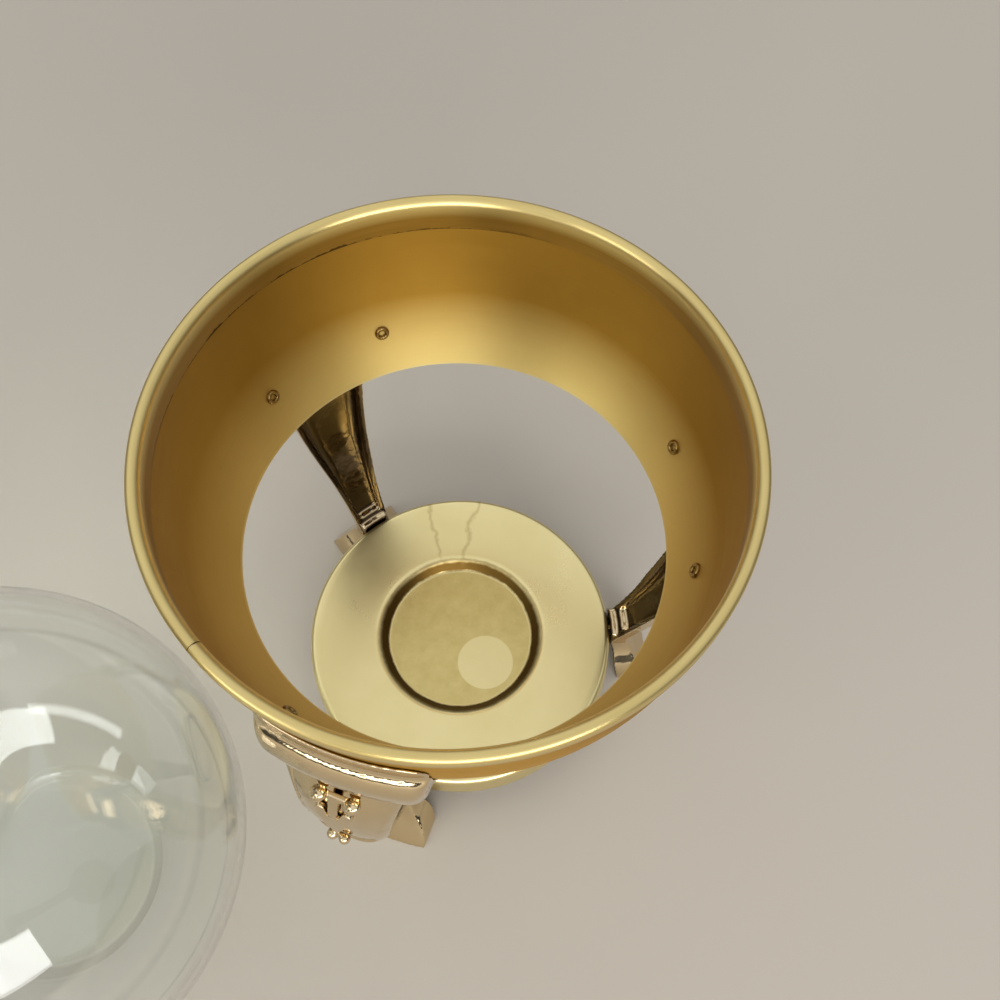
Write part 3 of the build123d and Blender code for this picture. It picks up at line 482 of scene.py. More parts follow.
def dish_brass():
    """Pale satin brass: a duller recess floor with a round painted reflection, painted shade over the
    recess's wall, a dried run of water at the back, and small pits."""
    material, tree, shader = finish_of("satin_dish_brass")
    rings, place = ring_lines(tree, stand, across=0.6, along=30)[:2]
    cloud = add(tree, "ShaderNodeTexNoise", {
        "Vector": place, "Scale": 1 / (dish_cloud * mm), "Detail": 5.0, "Roughness": 0.65})
    blotch = add(tree, "ShaderNodeTexNoise", {
        "Vector": place, "Scale": 1 / (blotch_width * mm), "Detail": 4.0, "Roughness": 0.7})
    parts = add(tree, "ShaderNodeSeparateXYZ", {"Vector": place})
    flat = add(tree, "ShaderNodeCombineXYZ", {"X": parts.outputs["X"], "Y": parts.outputs["Y"]})
    radius = add(tree, "ShaderNodeVectorMath", {0: flat.outputs["Vector"]}, operation="LENGTH")
    uneven = add(tree, "ShaderNodeMath", {
        0: blotch.outputs["Fac"], 1: wander * mm, 2: -wander * mm / 2}, operation="MULTIPLY_ADD")
    worn_radius = add(tree, "ShaderNodeMath", {
        0: radius.outputs["Value"], 1: uneven.outputs["Value"]}, operation="ADD")
    tone = add(tree, "ShaderNodeMix", {
        "Factor": cloud.outputs["Fac"], 6: srgb("#f3e3aa"), 7: srgb("#e7d595")}, data_type="RGBA")
    floor_tone = add(tree, "ShaderNodeMix", {
        "Factor": blotch.outputs["Fac"], 6: srgb("#e0cd8c"), 7: srgb("#c2ac66")}, data_type="RGBA")
    on_floor = add(tree, "ShaderNodeMapRange", {
        "Value": worn_radius.outputs["Value"], "From Min": floor_worn * mm, "From Max": floor_end * mm,
        "To Min": 1.0, "To Max": 0.0})
    # Painted reflection: a pale round spot of light on the recess's floor
    from_reflection = add(tree, "ShaderNodeVectorMath", {
        0: flat.outputs["Vector"], 1: reflection_place}, operation="DISTANCE")
    in_reflection = add(tree, "ShaderNodeMapRange", {
        "Value": from_reflection.outputs["Value"], "From Min": reflection_solid * mm, "From Max": reflection_end * mm,
        "To Min": 0.75, "To Max": 0.0})
    # Painted shade: a dark ring over the recess's wall, where shade falls
    inner = add(tree, "ShaderNodeMapRange", {
        "Value": worn_radius.outputs["Value"], "From Min": shade_start * mm, "From Max": shade_full * mm})
    outer = add(tree, "ShaderNodeMapRange", {
        "Value": worn_radius.outputs["Value"], "From Min": shade_fades * mm, "From Max": shade_end * mm,
        "To Min": 1.0, "To Max": 0.0})
    recess_wall_shade = add(tree, "ShaderNodeMath", {
        0: inner.outputs["Result"], 1: outer.outputs["Result"]}, operation="MULTIPLY")
    # The run of water narrows from the dish's edge towards the recess, and its edge has dried darker
    shift = add(tree, "ShaderNodeMath", {
        0: cloud.outputs["Fac"], 1: run_wander * mm, 2: run_aside * mm}, operation="MULTIPLY_ADD")
    across = add(tree, "ShaderNodeMath", {0: parts.outputs["X"], 1: shift.outputs["Value"]}, operation="ADD")
    beside = add(tree, "ShaderNodeMath", {0: across.outputs["Value"]}, operation="ABSOLUTE")
    width = add(tree, "ShaderNodeMath", {0: parts.outputs["Y"], 1: -run_half_width}, operation="MULTIPLY")
    edge = add(tree, "ShaderNodeMath", {
        0: beside.outputs["Value"], 1: width.outputs["Value"]}, operation="ADD")
    near_edge = add(tree, "ShaderNodeMath", {0: edge.outputs["Value"]}, operation="ABSOLUTE")
    dried = add(tree, "ShaderNodeMapRange", {
        "Value": near_edge.outputs["Value"], "From Max": run_line * mm, "To Min": 0.5, "To Max": 0.0})
    back_only = add(tree, "ShaderNodeMapRange", {
        "Value": parts.outputs["Y"], "From Min": run_start * mm, "From Max": run_full * mm})
    stain = add(tree, "ShaderNodeMath", {
        0: dried.outputs["Result"], 1: back_only.outputs["Result"]}, operation="MULTIPLY")
    pits = marks(tree, place, spacing=13.3, core=0.025, strength=0.8, bare_share=0.9)
    # Layers over the tone: worn floor, painted reflection, painted shade in the recess's wall, dried water
    # and pits
    layers = [(on_floor.outputs["Result"], floor_tone.outputs[2]),
              (in_reflection.outputs["Result"], srgb("#eedea4")), (recess_wall_shade.outputs["Value"], srgb("#6b5226")),
              (stain.outputs["Value"], srgb("#b09a5e")), (pits, srgb("#4f3c1c"))]
    for share, paint in layers:
        tone = add(tree, "ShaderNodeMix", {"Factor": share, 6: tone.outputs[2], 7: paint}, data_type="RGBA")
    tree.links.new(tone.outputs[2], shader.inputs["Base Color"])
    smooth = add(tree, "ShaderNodeMapRange", {"Value": cloud.outputs["Fac"], "To Min": 0.2, "To Max": 0.4})
    rough = add(tree, "ShaderNodeMath", {
        0: recess_wall_shade.outputs["Value"], 1: 0.15, 2: smooth.outputs["Result"]}, operation="MULTIPLY_ADD")
    tree.links.new(rough.outputs["Value"], shader.inputs["Roughness"])
    bump = add(tree, "ShaderNodeBump", {"Height": rings, "Strength": 0.05, "Distance": 0.0002})
    tree.links.new(bump.outputs["Normal"], shader.inputs["Normal"])
    shader.inputs["Metallic"].default_value = 1.0
    return material


dish.data.materials.append(dish_brass())
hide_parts("dish")


# Legs: hollow brass castings, polished to a mirror on the outside, which softens their corners, rounds
# the shoulder and crowns the shield. Each is riveted to the collar's wall and to the dish's skirt. The
# front leg was set a little askew, with its knee further out than the others.
def evaluated_mesh(piece):
    """The piece's mesh with its modifiers applied, which are then removed."""
    evaluated = piece.evaluated_get(bpy.context.evaluated_depsgraph_get())
    piece.data = bpy.data.meshes.new_from_object(evaluated)
    piece.modifiers.clear()


facet_distance = 2e-6


def softened(node, name, voxel, passes, dressing=None):
    """A piece's CAD shape with its corners rounded: merged, remeshed at voxel mm, dressed and smoothed."""
    mesh = nodes[node].data.copy()
    work = bmesh.new()
    work.from_mesh(mesh)
    bmesh.ops.remove_doubles(work, verts=work.verts, dist=facet_distance)
    work.to_mesh(mesh)
    work.free()
    mesh.materials.clear()
    piece = bpy.data.objects.new(name, mesh)
    scene.collection.objects.link(piece)
    grid = piece.modifiers.new("grid", "REMESH")
    grid.mode = "VOXEL"
    grid.voxel_size = voxel * mm
    grid.use_smooth_shade = True
    if dressing:
        evaluated_mesh(piece)
        dressing(piece)
    polish = piece.modifiers.new("polish", "SMOOTH")
    polish.factor = 0.5
    polish.iterations = passes
    evaluated_mesh(piece)
    return piece


def clouded(tree, shader, place, width, detail, tones, gloss):
    """Varies the tone and the roughness together in soft clouds width mm across. Gives clouds and tone."""
    cloud = add(tree, "ShaderNodeTexNoise", {"Vector": place, "Scale": 1 / (width * mm), "Detail": detail})
    tone = add(tree, "ShaderNodeMix", {
        "Factor": cloud.outputs["Fac"], 6: srgb(tones[0]), 7: srgb(tones[1])}, data_type="RGBA")
    tree.links.new(tone.outputs[2], shader.inputs["Base Color"])
    rough = add(tree, "ShaderNodeMapRange", {
        "Value": cloud.outputs["Fac"], "To Min": gloss[0], "To Max": gloss[1]})
    tree.links.new(rough.outputs["Result"], shader.inputs["Roughness"])
    return cloud.outputs["Fac"], tone.outputs[2]


# The castings' inner side, with a painted dark reflection: how far its faces turn to the axis, from -1
# facing it to 0 across, and the levels in mm between which the painted reflection changes from dark to dull
# gold
ripple_width = 4.35
facing_in, facing_side = -0.55, -0.15
reflection_dark_level, reflection_dull_level = 62.0, 76.0


def cast_brass():
    """Mirror-polished cast brass with faint ripples, and a painted dark reflection on the side towards the
    stand's axis.
    """
    material, tree, shader = finish_of("polished_cast_brass")
    place = add(tree, "ShaderNodeTexCoord").outputs["Object"]
    tone = clouded(tree, shader, place, width=12.5, detail=4.0, tones=("#dfcba6", "#ceb88e"),
                   gloss=(0.06, 0.16))[1]
    from_axis = add(tree, "ShaderNodeVectorMath", {0: place, 1: tuple(stand)}, operation="SUBTRACT")
    level_out = add(tree, "ShaderNodeVectorMath", {
        0: from_axis.outputs["Vector"], 1: (1, 1, 0)}, operation="MULTIPLY")
    outwards = add(tree, "ShaderNodeVectorMath", {0: level_out.outputs["Vector"]}, operation="NORMALIZE")
    facing = add(tree, "ShaderNodeVectorMath", {
        0: add(tree, "ShaderNodeNewGeometry").outputs["Normal"], 1: outwards.outputs["Vector"]},
        operation="DOT_PRODUCT")
    # Painted dark reflection on the faces turned to the stand's axis: darkest low down, dull gold higher up
    dark_reflection_side = add(tree, "ShaderNodeMapRange", {
        "Value": facing.outputs["Value"], "From Min": facing_in, "From Max": facing_side,
        "To Min": 0.9, "To Max": 0.0})
    parts = add(tree, "ShaderNodeSeparateXYZ", {"Vector": place})
    higher = add(tree, "ShaderNodeMapRange", {
        "Value": parts.outputs["Z"], "From Min": reflection_dark_level * mm, "From Max": reflection_dull_level * mm})
    dark_reflection_tone = add(tree, "ShaderNodeMix", {
        "Factor": higher.outputs["Result"], 6: srgb("#3a2912"), 7: srgb("#a58144")}, data_type="RGBA")
    with_dark_reflection = add(tree, "ShaderNodeMix", {
        "Factor": dark_reflection_side.outputs["Result"], 6: tone, 7: dark_reflection_tone.outputs[2]}, data_type="RGBA")
    tree.links.new(with_dark_reflection.outputs[2], shader.inputs["Base Color"])
    ripple = add(tree, "ShaderNodeTexNoise", {
        "Vector": place, "Scale": 1 / (ripple_width * mm), "Detail": 2.0})
    bump = add(tree, "ShaderNodeBump", {
        "Height": ripple.outputs["Fac"], "Strength": 0.28, "Distance": 0.0005})
    tree.links.new(bump.outputs["Normal"], shader.inputs["Normal"])
    shader.inputs["Metallic"].default_value = 1.0
    return material


cast = cast_brass()
leg_angles = {"right": 7.0, "back": 129.0, "front": 251.5}
# The shoulder in mm: its levels, its seat on the collar, its swell as cast and as polished, and where
# it rounds off towards its ends, with the share of the swell that it loses there
groove_level, shoulder_bottom = 121.4, 96.6
seat_radius, wall_outside = 63.5, 63.4
swell_out, swell_bend, swell_middle = 66.6, 25.625, 109.0
polished_level, polished_radius = 113.5, 67.4
swell_flat, swell_end, end_lost = 14.6, 4.0, 0.7
# The shield's crown across its width, the knee's way out and its narrowing, with the levels between
# which each comes and goes
shield_crown, crown_bottom, crown_full, crown_top, crown_lost = 3.0, 18, 45, 84, 0.7
bent_out = {"right": 0.0, "back": 0.0, "front": 1.8}
foot_share, foot_height = 0.8, 10
narrowing, narrow_bottom, narrow_full, narrow_top, narrow_end = 0.05, 25, 45, 78, 93
lean = {"right": 0.0, "back": 0.0, "front": 1.0}
# How far a leaning leg stands off its place, in degrees round the stand, and the castings' half
# widths in mm, both by level
lean_by_level = [(-1, 0), (30, 0), (62, -1.4), (92, -0.9), (97, 0.6), (104, 1.3), (140, 1.3)]
half_widths = [(-1, 8.0), (16.6, 4.9), (40.3, 7.5), (70.6, 12.3), (96.6, 14.3)]


def swell_of(level):
    """Radii at a level of the shoulder's seat on the collar, its swell as cast and its swell as polished."""
    seat = sqrt(seat_radius ** 2 - max(0.0, curve_top - level) ** 2)
    plain = swell_out - swell_bend + sqrt(swell_bend ** 2 - (level - swell_middle) ** 2)
    if level > polished_level:
        rise = (level - polished_level) / (groove_level - polished_level)
        return seat, plain, wall_outside + (polished_radius - wall_outside) * (1 - rise ** 2) ** 0.7
    fall = (polished_level - level) / (polished_level - shoulder_bottom)
    return seat, plain, polished_radius - (polished_radius - wall_outside) * fall ** 2


def smooth_step(value, low, high):
    """Rises smoothly from 0 at the low value to 1 at the high one."""
    share = min(1.0, max(0.0, (value - low) / (high - low)))
    return share * share * (3 - 2 * share)


def at_level(rows, level):
    """A value at a level, on straight lines between rows of level and value."""
    for (low, near), (high, far) in zip(rows, rows[1:]):
        if low <= level <= high:
            return near + (far - near) * (level - low) / (high - low)
    return 0.0


def dressed(piece, side):
    """Rounds the shoulder's swell and its ends, crowns the shield across its width, narrows the knee and
    leans and bends the front leg."""
    for vertex in piece.data.vertices:
        place = (vertex.co - stand) / mm
        level = place.z
        radius = hypot(place.x, place.y)
        turn = atan2(place.y, place.x) - radians(leg_angles[side])
        turn = (turn + pi) % (2 * pi) - pi
        across = abs(radius * sin(turn))
        if level > shoulder_bottom:
            seat, plain, polished = swell_of(min(level, groove_level))
            proud = max(0.0, radius - seat)
            made = radius + (polished - plain) * min(1.0, proud / max(1.0, plain - seat))
            end = min(1.0, max(0.0, (across - swell_flat) / swell_end))
            made -= end_lost * (1 - sqrt(1 - end ** 2)) * max(0.0, made - seat)
        else:
            crown = smooth_step(level, crown_bottom, crown_full)
            crown *= 1 - crown_lost * smooth_step(level, crown_top, shoulder_bottom)
            sideways = min(1.0, across / at_level(half_widths, level))
            made = radius + crown * (bent_out[side] - shield_crown * sideways ** 4)
            made += foot_share * bent_out[side] * (1 - smooth_step(level, 0, foot_height))
            narrowed = smooth_step(level, narrow_bottom, narrow_full)
            turn *= 1 - narrowing * narrowed * (1 - smooth_step(level, narrow_top, narrow_end))
        turn += radians(leg_angles[side] + lean[side] * at_level(lean_by_level, level))
        vertex.co.x = stand.x + made * cos(turn) * mm
        vertex.co.y = stand.y + made * sin(turn) * mm


for side in leg_angles:
    leg = softened("leg_" + side, "leg_casting_" + side, voxel=0.4, passes=10,
                   dressing=lambda piece: dressed(piece, side))
    leg.data.materials.append(cast)
    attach(leg, "stand")
    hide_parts("leg_" + side)

# Ornaments: a small cast piece on each shield, two domed lobes over leaves, a stem and two balls,
# held by a stud through the leg's web. Polished like the legs, and drawn out along the shield.
knee_radius, knee_level, ornament_middle, drawn_by = 68.9, 70.6, 80.0, 1.12


def shield_out(level):
    """How far out the shield's curve stands at a level."""
    return sqrt(knee_radius ** 2 - (level - knee_level) ** 2)


def drawn_out(piece, side):
    """Draws the ornament a little longer, along the shield's curve, and moves it with its leg."""
    for vertex in piece.data.vertices:
        place = (vertex.co - stand) / mm
        level = ornament_middle + (place.z - ornament_middle) * drawn_by
        radius = hypot(place.x, place.y) + bent_out[side]
        radius += shield_out(level) - shield_out(place.z)
        turn = atan2(place.y, place.x) + radians(lean[side] * at_level(lean_by_level, level))
        vertex.co = stand + Vector((radius * cos(turn), radius * sin(turn), level)) * mm


for side in leg_angles:
    ornament = softened("ornament_" + side, "ornament_casting_" + side, voxel=0.16, passes=3,
                        dressing=lambda piece: drawn_out(piece, side))
    ornament.data.materials.append(cast)
    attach(ornament, "stand")
    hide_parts("ornament_" + side)


# Rivets: tubular brass rivets, their ends rolled over to a ring with a dimple. Two hold the collar to
# each leg and one holds the dish to each leg. The lid's bracket has two of the same kind.
def fastener_brass():
    """Darkened brass of the rivets and screws, its tone and gloss clouded at random."""
    material, tree, shader = finish_of("darkened_fastener_brass")
    place = add(tree, "ShaderNodeTexCoord").outputs["Object"]
    clouded(tree, shader, place, width=1.11, detail=3.0, tones=("#b89a58", "#5f4523"), gloss=(0.15, 0.4))
    shader.inputs["Metallic"].default_value = 1.0
    return material


fastener = fastener_brass()
ring_proud = 0.55


def rivet_tree():
    """Geometry nodes: a rivet on each point, its shank along the point's own direction and its rolled ring
    on the other side, where the roll's middle stands proud by a share of its radius."""
    tree = bpy.data.node_groups.new("rivets", "GeometryNodeTree")
    tree.interface.new_socket("Geometry", in_out="INPUT", socket_type="NodeSocketGeometry")
    for name in ("Ring Radius", "Roll Radius", "Shank Radius", "Shank Length"):
        tree.interface.new_socket(name, in_out="INPUT", socket_type="NodeSocketFloat")
    tree.interface.new_socket("Finish", in_out="INPUT", socket_type="NodeSocketMaterial")
    tree.interface.new_socket("Geometry", in_out="OUTPUT", socket_type="NodeSocketGeometry")
    given = add(tree, "NodeGroupInput").outputs
    path = add(tree, "GeometryNodeCurvePrimitiveCircle", {"Resolution": 40, "Radius": given["Ring Radius"]})
    roll = add(tree, "GeometryNodeCurvePrimitiveCircle", {"Resolution": 16, "Radius": given["Roll Radius"]})
    ring = add(tree, "GeometryNodeCurveToMesh", {
        "Curve": path.outputs["Curve"], "Profile Curve": roll.outputs["Curve"]})
    up = add(tree, "ShaderNodeMath", {0: given["Roll Radius"], 1: -ring_proud}, operation="MULTIPLY")
    lift = add(tree, "ShaderNodeCombineXYZ", {"Z": up.outputs["Value"]})
    ring_up = add(tree, "GeometryNodeTransform", {
        "Geometry": ring.outputs["Mesh"], "Translation": lift.outputs["Vector"]})
    shank = add(tree, "GeometryNodeMeshCylinder", {
        "Vertices": 32, "Radius": given["Shank Radius"], "Depth": given["Shank Length"]})
    middle = add(tree, "ShaderNodeMath", {0: given["Shank Length"], 1: 0.5}, operation="MULTIPLY")
    down = add(tree, "ShaderNodeCombineXYZ", {"Z": middle.outputs["Value"]})
    shank_down = add(tree, "GeometryNodeTransform", {
        "Geometry": shank.outputs["Mesh"], "Translation": down.outputs["Vector"]})
    rivet = add(tree, "GeometryNodeJoinGeometry")
    tree.links.new(ring_up.outputs["Geometry"], rivet.inputs["Geometry"])
    tree.links.new(shank_down.outputs["Geometry"], rivet.inputs["Geometry"])
    way = add(tree, "GeometryNodeInputNamedAttribute", {"Name": "shank"}, data_type="FLOAT_VECTOR")
    turned = add(tree, "FunctionNodeAlignRotationToVector", {"Vector": way.outputs["Attribute"]}, axis="Z")
    placed = add(tree, "GeometryNodeInstanceOnPoints", {
        "Points": given["Geometry"], "Instance": rivet.outputs["Geometry"],
        "Rotation": turned.outputs["Rotation"]})
    real = add(tree, "GeometryNodeRealizeInstances", {"Geometry": placed.outputs["Instances"]})
    smooth = add(tree, "GeometryNodeSetShadeSmooth", {"Geometry": real.outputs["Geometry"]})
    painted = add(tree, "GeometryNodeSetMaterial", {
        "Geometry": smooth.outputs["Geometry"], "Material": given["Finish"]})
    out = add(tree, "NodeGroupOutput")
    tree.links.new(painted.outputs["Geometry"], out.inputs["Geometry"])
    return tree


rivets = rivet_tree()


def riveted(name, places, sizes, body):
    """Rivets at the places, each a point and a direction; sizes in mm by the tree's input names."""
    mesh = bpy.data.meshes.new(name + "_points")
    mesh.from_pydata([tuple(p) for p, way in places], [], [])
    ways = mesh.attributes.new("shank", "FLOAT_VECTOR", "POINT")
    for i, (p, way) in enumerate(places):
        ways.data[i].vector = way
    piece = bpy.data.objects.new(name, mesh)
    scene.collection.objects.link(piece)
    modifier = piece.modifiers.new("rivets", "NODES")
    modifier.node_group = rivets
    for item in rivets.interface.items_tree:
        if item.in_out == "INPUT" and item.name in sizes:
            modifier[item.identifier] = sizes[item.name] * mm
        if item.in_out == "INPUT" and item.name == "Finish":
            modifier[item.identifier] = fastener
    evaluated_mesh(piece)
    piece.data.set_sharp_from_angle(angle=crease)
    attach(piece, body)
    return piece


rivet_drop, rivet_turn, dish_rivet_level, skirt_inside = 39.4, 16.6, 16.6, 43.84
rivet_tilt = asin((curve_top - (rim_top - rivet_drop)) / wall_radius)
collar_places = []
dish_places = []
for leg_angle in leg_angles.values():
    for turn in (-rivet_turn, rivet_turn):
        a = radians(leg_angle + turn)
        way = Vector((cos(rivet_tilt) * cos(a), cos(rivet_tilt) * sin(a), -sin(rivet_tilt)))
        point = stand + Vector((0, 0, curve_top * mm)) + way * wall_radius * mm
        collar_places.append((point, way))
    a = radians(leg_angle)
    way = Vector((cos(a), sin(a), 0))
    dish_places.append((stand + way * skirt_inside * mm + Vector((0, 0, dish_rivet_level * mm)), way))
rivet_sizes = {"Ring Radius": 1.28, "Roll Radius": 0.58, "Shank Radius": 0.95, "Shank Length": 3.8}
leg_rivets = riveted("leg_rivets_rolled", collar_places, rivet_sizes, "stand")
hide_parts("leg_rivets")
dish_rivets = riveted("dish_rivets_rolled", dish_places, rivet_sizes, "stand")
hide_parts("dish_rivets")

# Carafe: clear blown glass, a round belly on a small flat foot with a kick in it, a straight neck
# where the band sits, and a flared lip drawn out to a spout opposite the handle.
belly_radius, base_radius, glass_wall = 61.5, 26.0, 1.8
belly_level = sqrt(belly_radius ** 2 - base_radius ** 2)
neck_radius, neck_curve, neck_height = 26.0, 10.0, 12.0
lip_radius, lip_height = 33.0, 22.5
neck_bottom = belly_level + sqrt((belly_radius + neck_curve) ** 2 - (neck_radius + neck_curve) ** 2)
neck_top = neck_bottom + neck_height
lip_top = neck_top + lip_height
belly_angle = degrees(atan2(neck_bottom - belly_level, neck_radius + neck_curve))
lip_turn = degrees(2 * atan2(lip_radius - neck_radius, lip_height))
lip_bend = lip_height / sin(radians(lip_turn))


def glass_line(inset, foot):
    """Half section of the outer or inner face from near the axis at the foot up to the lip."""
    side = belly_radius - inset
    low = degrees(asin((belly_level - foot) / side))
    line = arc((0, belly_level), side, -low, belly_angle, 80)
    line += arc((neck_radius + neck_curve, neck_bottom), neck_curve + inset, 180 + belly_angle, 180, 14)[1:]
    line += [(neck_radius - inset, neck_bottom + neck_height * i / 6) for i in range(1, 7)]
    line += arc((neck_radius + lip_bend, neck_top), lip_bend + inset, 180, 180 - lip_turn, 20)[1:]
    return line


# The foot's ring clears the table by a hair. Its corners take up the first points of the belly's
# line, outside and inside.
foot_clear, foot_round, foot_inside, inside_round = 0.05, 2.4, 3.8, 1.0
kick_radius, kick_rise, kick_steps = 21.0, 2.0, 12
outer_taken, inner_taken = 6, 3
outer = glass_line(0, 0)
inner = glass_line(glass_wall, foot_inside)
foot_corner = rounded([(kick_radius, foot_clear, 0), (outer[0][0], foot_clear, foot_round),
                       (*outer[outer_taken], 0)], 8)
inner_foot = rounded([(0, foot_inside, 0), (inner[0][0], foot_inside, inside_round),
                      (*inner[inner_taken], 0)], 6)
kick_bend = (kick_radius ** 2 + kick_rise ** 2) / (2 * kick_rise)
kick_places = [kick_radius * i / kick_steps for i in range(kick_steps + 1)]
kick = [(x, kick_rise - (kick_bend - sqrt(kick_bend ** 2 - x ** 2))) for x in kick_places]
lip_flatness, lip_drop, lip_steps = 0.75, 0.6, 8
lip_outer, lip_inner = Vector(outer[-1]), Vector(inner[-1])
lip_middle, lip_half = (lip_outer + lip_inner) / 2, (lip_outer - lip_inner) / 2
lip_up = Vector((-lip_half.y, lip_half.x)) * lip_flatness
lip_round = []
for i in range(lip_steps + 1):
    a = pi * i / lip_steps
    lip_round.append(tuple(lip_middle + lip_half * cos(a) + lip_up * sin(a) - Vector((0, lip_drop))))
glass_outline = kick + foot_corner[1:] + outer[outer_taken + 1:-1] + lip_round
glass_outline += inner[-2:inner_taken:-1] + inner_foot[::-1]
spout_depth, spout_out, spout_half_angle = 18.0, 4.5, radians(17)


def spout_reach(radius, level, a):
    """The lip leans out to the spout opposite the handle."""
    lift = min(1.0, max(0.0, (level - (lip_top - spout_depth)) / spout_depth)) ** 1.5
    away = abs((a - handle_angle) % (2 * pi) - pi)
    return radius + spout_out * lift * exp(-(away / spout_half_angle) ** 2)


carafe_glass = spun("carafe_blown", glass_outline, carafe, "carafe", steps=256, reach=spout_reach)
glass_wave = 45.5


def clear_glass():
    """Clear soda-lime glass, smooth, with a faint unevenness from blowing."""
    material, tree, shader = finish_of("clear_blown_glass")
    place = add(tree, "ShaderNodeTexCoord").outputs["Object"]
    waves = add(tree, "ShaderNodeTexNoise", {"Vector": place, "Scale": 1 / (glass_wave * mm), "Detail": 1.0})
    bump = add(tree, "ShaderNodeBump", {"Height": waves.outputs["Fac"], "Strength": 0.1, "Distance": 0.0006})
    tree.links.new(bump.outputs["Normal"], shader.inputs["Normal"])
    shader.inputs["Base Color"].default_value = srgb("#fbfdfc")
    shader.inputs["Transmission Weight"].default_value = 1.0
    shader.inputs["Roughness"].default_value = 0.0
    shader.inputs["IOR"].default_value = 1.5
    lit_through = add(tree, "ShaderNodeBsdfTransparent", {"Color": srgb("#f2f5f3")})
    shadow = add(tree, "ShaderNodeMixShader", {
        0: add(tree, "ShaderNodeLightPath").outputs["Is Shadow Ray"], 1: shader.outputs["BSDF"],
        2: lit_through.outputs["BSDF"]})
    tree.links.new(shadow.outputs["Shader"], tree.nodes["Material Output"].inputs["Surface"])
    return material


carafe_glass.data.materials.append(clear_glass())
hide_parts("carafe_glass")


# Neck liner: a thin strip of dark rubber, cut to length and laid round the neck under the band, so
# that the clamp grips without marking the glass.
rubber_grain = 0.667


def liner_rubber():
    """Matt black rubber with a fine dusty grain."""
    material, tree, shader = finish_of("dark_liner_rubber")
    place = add(tree, "ShaderNodeTexCoord").outputs["Object"]
    grain = add(tree, "ShaderNodeTexNoise", {
        "Vector": place, "Scale": 1 / (rubber_grain * mm), "Detail": 2.0})
    tone = add(tree, "ShaderNodeMix", {
        "Factor": grain.outputs["Fac"], 6: srgb("#26221f"), 7: srgb("#3a3531")}, data_type="RGBA")
    tree.links.new(tone.outputs[2], shader.inputs["Base Color"])
    shader.inputs["Roughness"].default_value = 0.75
    return material


def dress(node, material):
    """Gives a CAD node its finish."""
    mesh = nodes[node].data
    mesh.materials.clear()
    mesh.materials.append(material)


dress("neck_liner", liner_rubber())


# Neck band, hinge plate and the lid's bracket: polished brass strip and stampings, the corners
# softened by polishing. The clamp screw draws the band's two ears together.
def bright_brass():
    """Polished brass fittings with faint wiping marks."""
    material, tree, shader = finish_of("polished_brass_fittings")
    place = add(tree, "ShaderNodeTexCoord").outputs["Object"]
    clouded(tree, shader, place, width=8.33, detail=4.0, tones=("#e4ce8e", "#d4bc78"), gloss=(0.1, 0.24))
    shader.inputs["Metallic"].default_value = 1.0
    return material


bright_fitting = bright_brass()
for node, body in (("neck_band", "carafe"), ("hinge_plate", "carafe"), ("lid_bracket", "lid")):
    fitting = softened(node, node + "_polished", voxel=0.25, passes=2)
    fitting.data.materials.append(bright_fitting)
    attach(fitting, body)
    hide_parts(node)
for node in ("band_screw", "band_nut", "hinge_pin", "knob_screw"):
    dress(node, fastener)


# Handle: black phenolic moulding, slotted over the band's ears, out from the neck and down beside
# the belly, with soft corners from the mould and a glossy skin.
def black_moulding():
    """Glossy black phenolic with a faint orange-peel skin."""
    material, tree, shader = finish_of("glossy_black_phenolic")
    place = add(tree, "ShaderNodeTexCoord").outputs["Object"]
    peel = clouded(tree, shader, place, width=2.0, detail=2.0, tones=("#161413", "#211e1c"),
                   gloss=(0.2, 0.32))[0]
    bump = add(tree, "ShaderNodeBump", {"Height": peel, "Strength": 0.1, "Distance": 0.0002})
    tree.links.new(bump.outputs["Normal"], shader.inputs["Normal"])
    return material


phenolic = black_moulding()
handle = softened("handle", "handle_moulded", voxel=0.45, passes=6)
handle.data.materials.append(phenolic)
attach(handle, "carafe")
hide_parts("handle")

# Lid: spun brass, a low dome with a flat brim on the lip and a flange that sits in the mouth. The
# brim leaves room behind the dome for the leaf of the hinge bracket.
lid_gap, lid_sheet, lid_rise, lid_radius, edge_roll = 0.3, 1.0, 9.0, 34.6, 0.5
insert_room, insert_depth, roll_gap = 3.6, 4.6, 0.1
leaf_rivet_inset, leaf_margin, dome_margin = 3.6, 3.0, 1.5
lid_base = lip_top + lid_gap
insert_radius = lip_radius - glass_wall - insert_room
insert_end = lid_base - insert_depth + edge_roll
insert_middle = lid_base - 2.0
insert_inside = insert_radius - lid_sheet
dome_radius = insert_radius - leaf_rivet_inset - leaf_margin - dome_margin
dome_bend = (dome_radius ** 2 + lid_rise ** 2) / (2 * lid_rise)
dome_turn = degrees(asin(dome_radius / dome_bend))
brim = lid_radius - edge_roll - dome_radius


def dome(level, steps):
    """The dome's line from its top out to the brim."""
    return arc((0, level + lid_rise - dome_bend), dome_bend, 90, 90 - dome_turn, steps)


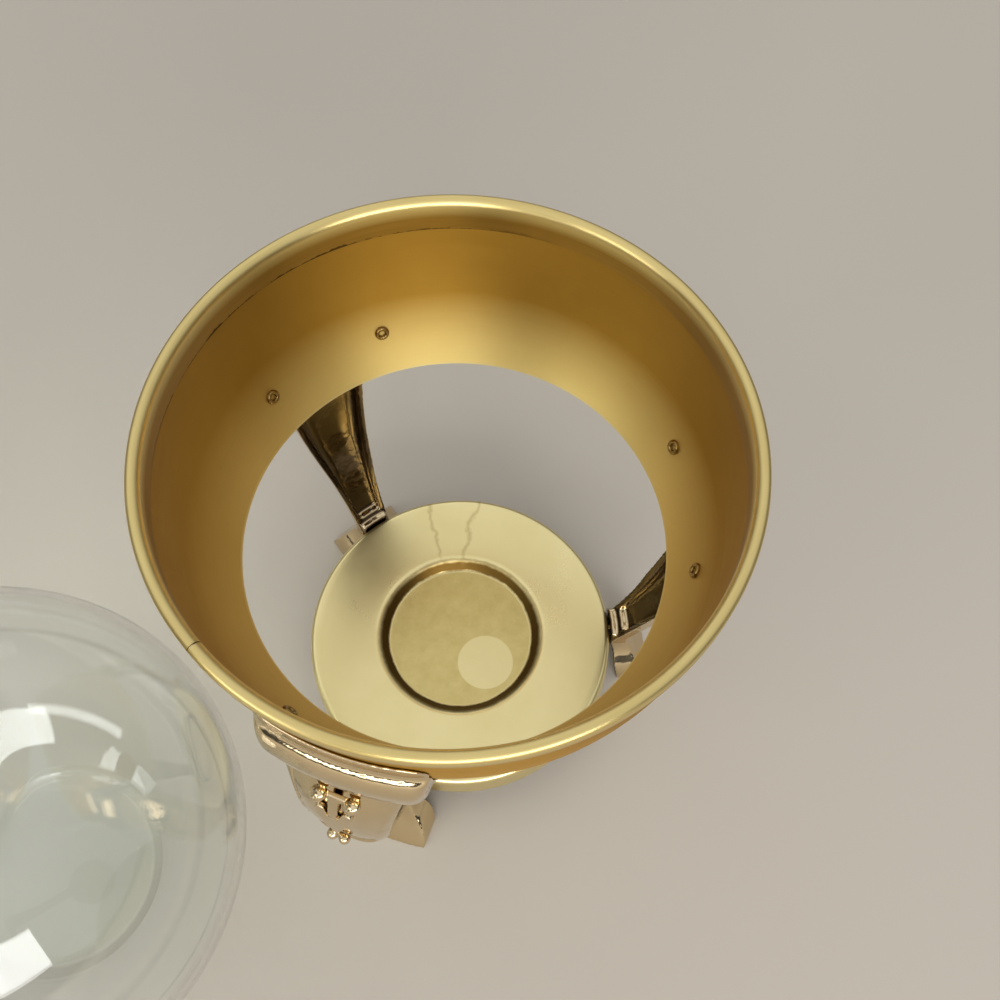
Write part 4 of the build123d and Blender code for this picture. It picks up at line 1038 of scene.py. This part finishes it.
lid_outline = dome(lid_base + lid_sheet, 24)
lid_outline += [(dome_radius + brim * i / 10, lid_base + lid_sheet) for i in range(1, 11)]
lid_outline += arc((lid_radius - edge_roll, lid_base + edge_roll), edge_roll, 90, -90, 8)[1:]
lid_outline += [(insert_radius, level) for level in (lid_base, insert_middle, insert_end - roll_gap)]
lid_outline += arc((insert_radius - edge_roll, insert_end), edge_roll, 0, -180, 8)[1:]
lid_outline += [(insert_inside, insert_middle), (insert_inside, lid_base)]
lid_outline += dome(lid_base, 24)[::-1]
lid_outline = [(max(0.0, x), y) for x, y in lid_outline]
lid = spun("lid_spun", lid_outline, carafe, "lid", steps=224)


def lid_brass():
    """Satin spun brass of the lid, its rings round the carafe's axis."""
    material, tree, shader = finish_of("satin_lid_brass")
    rings = ring_lines(tree, carafe, across=0.5, along=30)[0]
    tone = add(tree, "ShaderNodeMix", {
        "Factor": rings, 6: srgb("#e0ca8a"), 7: srgb("#d2ba76")}, data_type="RGBA")
    tree.links.new(tone.outputs[2], shader.inputs["Base Color"])
    rough = add(tree, "ShaderNodeMapRange", {"Value": rings, "To Min": 0.16, "To Max": 0.3})
    tree.links.new(rough.outputs["Result"], shader.inputs["Roughness"])
    bump = add(tree, "ShaderNodeBump", {"Height": rings, "Strength": 0.08, "Distance": 0.0002})
    tree.links.new(bump.outputs["Normal"], shader.inputs["Normal"])
    shader.inputs["Metallic"].default_value = 1.0
    return material


lid.data.materials.append(lid_brass())
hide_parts("lid")

# Lid rivets: two tubular brass rivets, driven through the hinge bracket's leaf and the lid's brim,
# with their rolled ends on the leaf.
rivet_spread, head_level = 3.2, 2.5
lid_places = []
outwards = Vector((cos(handle_angle), sin(handle_angle), 0))
sideways = Vector((-sin(handle_angle), cos(handle_angle), 0))
for across in (-rivet_spread, rivet_spread):
    point = carafe + outwards * (insert_radius - leaf_rivet_inset) * mm + sideways * across * mm
    lid_places.append((point + Vector((0, 0, (lid_base + head_level) * mm)), Vector((0, 0, -1))))
lid_rivets = riveted("lid_rivets_rolled", lid_places, {**rivet_sizes, "Shank Length": 2.4}, "lid")
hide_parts("lid_rivets")

# Knob: black phenolic, moulded and polished, screwed on from under the dome. It keeps fingers off
# the hot lid.
knob = softened("lid_knob", "lid_knob_moulded", voxel=0.3, passes=4)
knob.data.materials.append(phenolic)
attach(knob, "lid")
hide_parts("lid_knob")
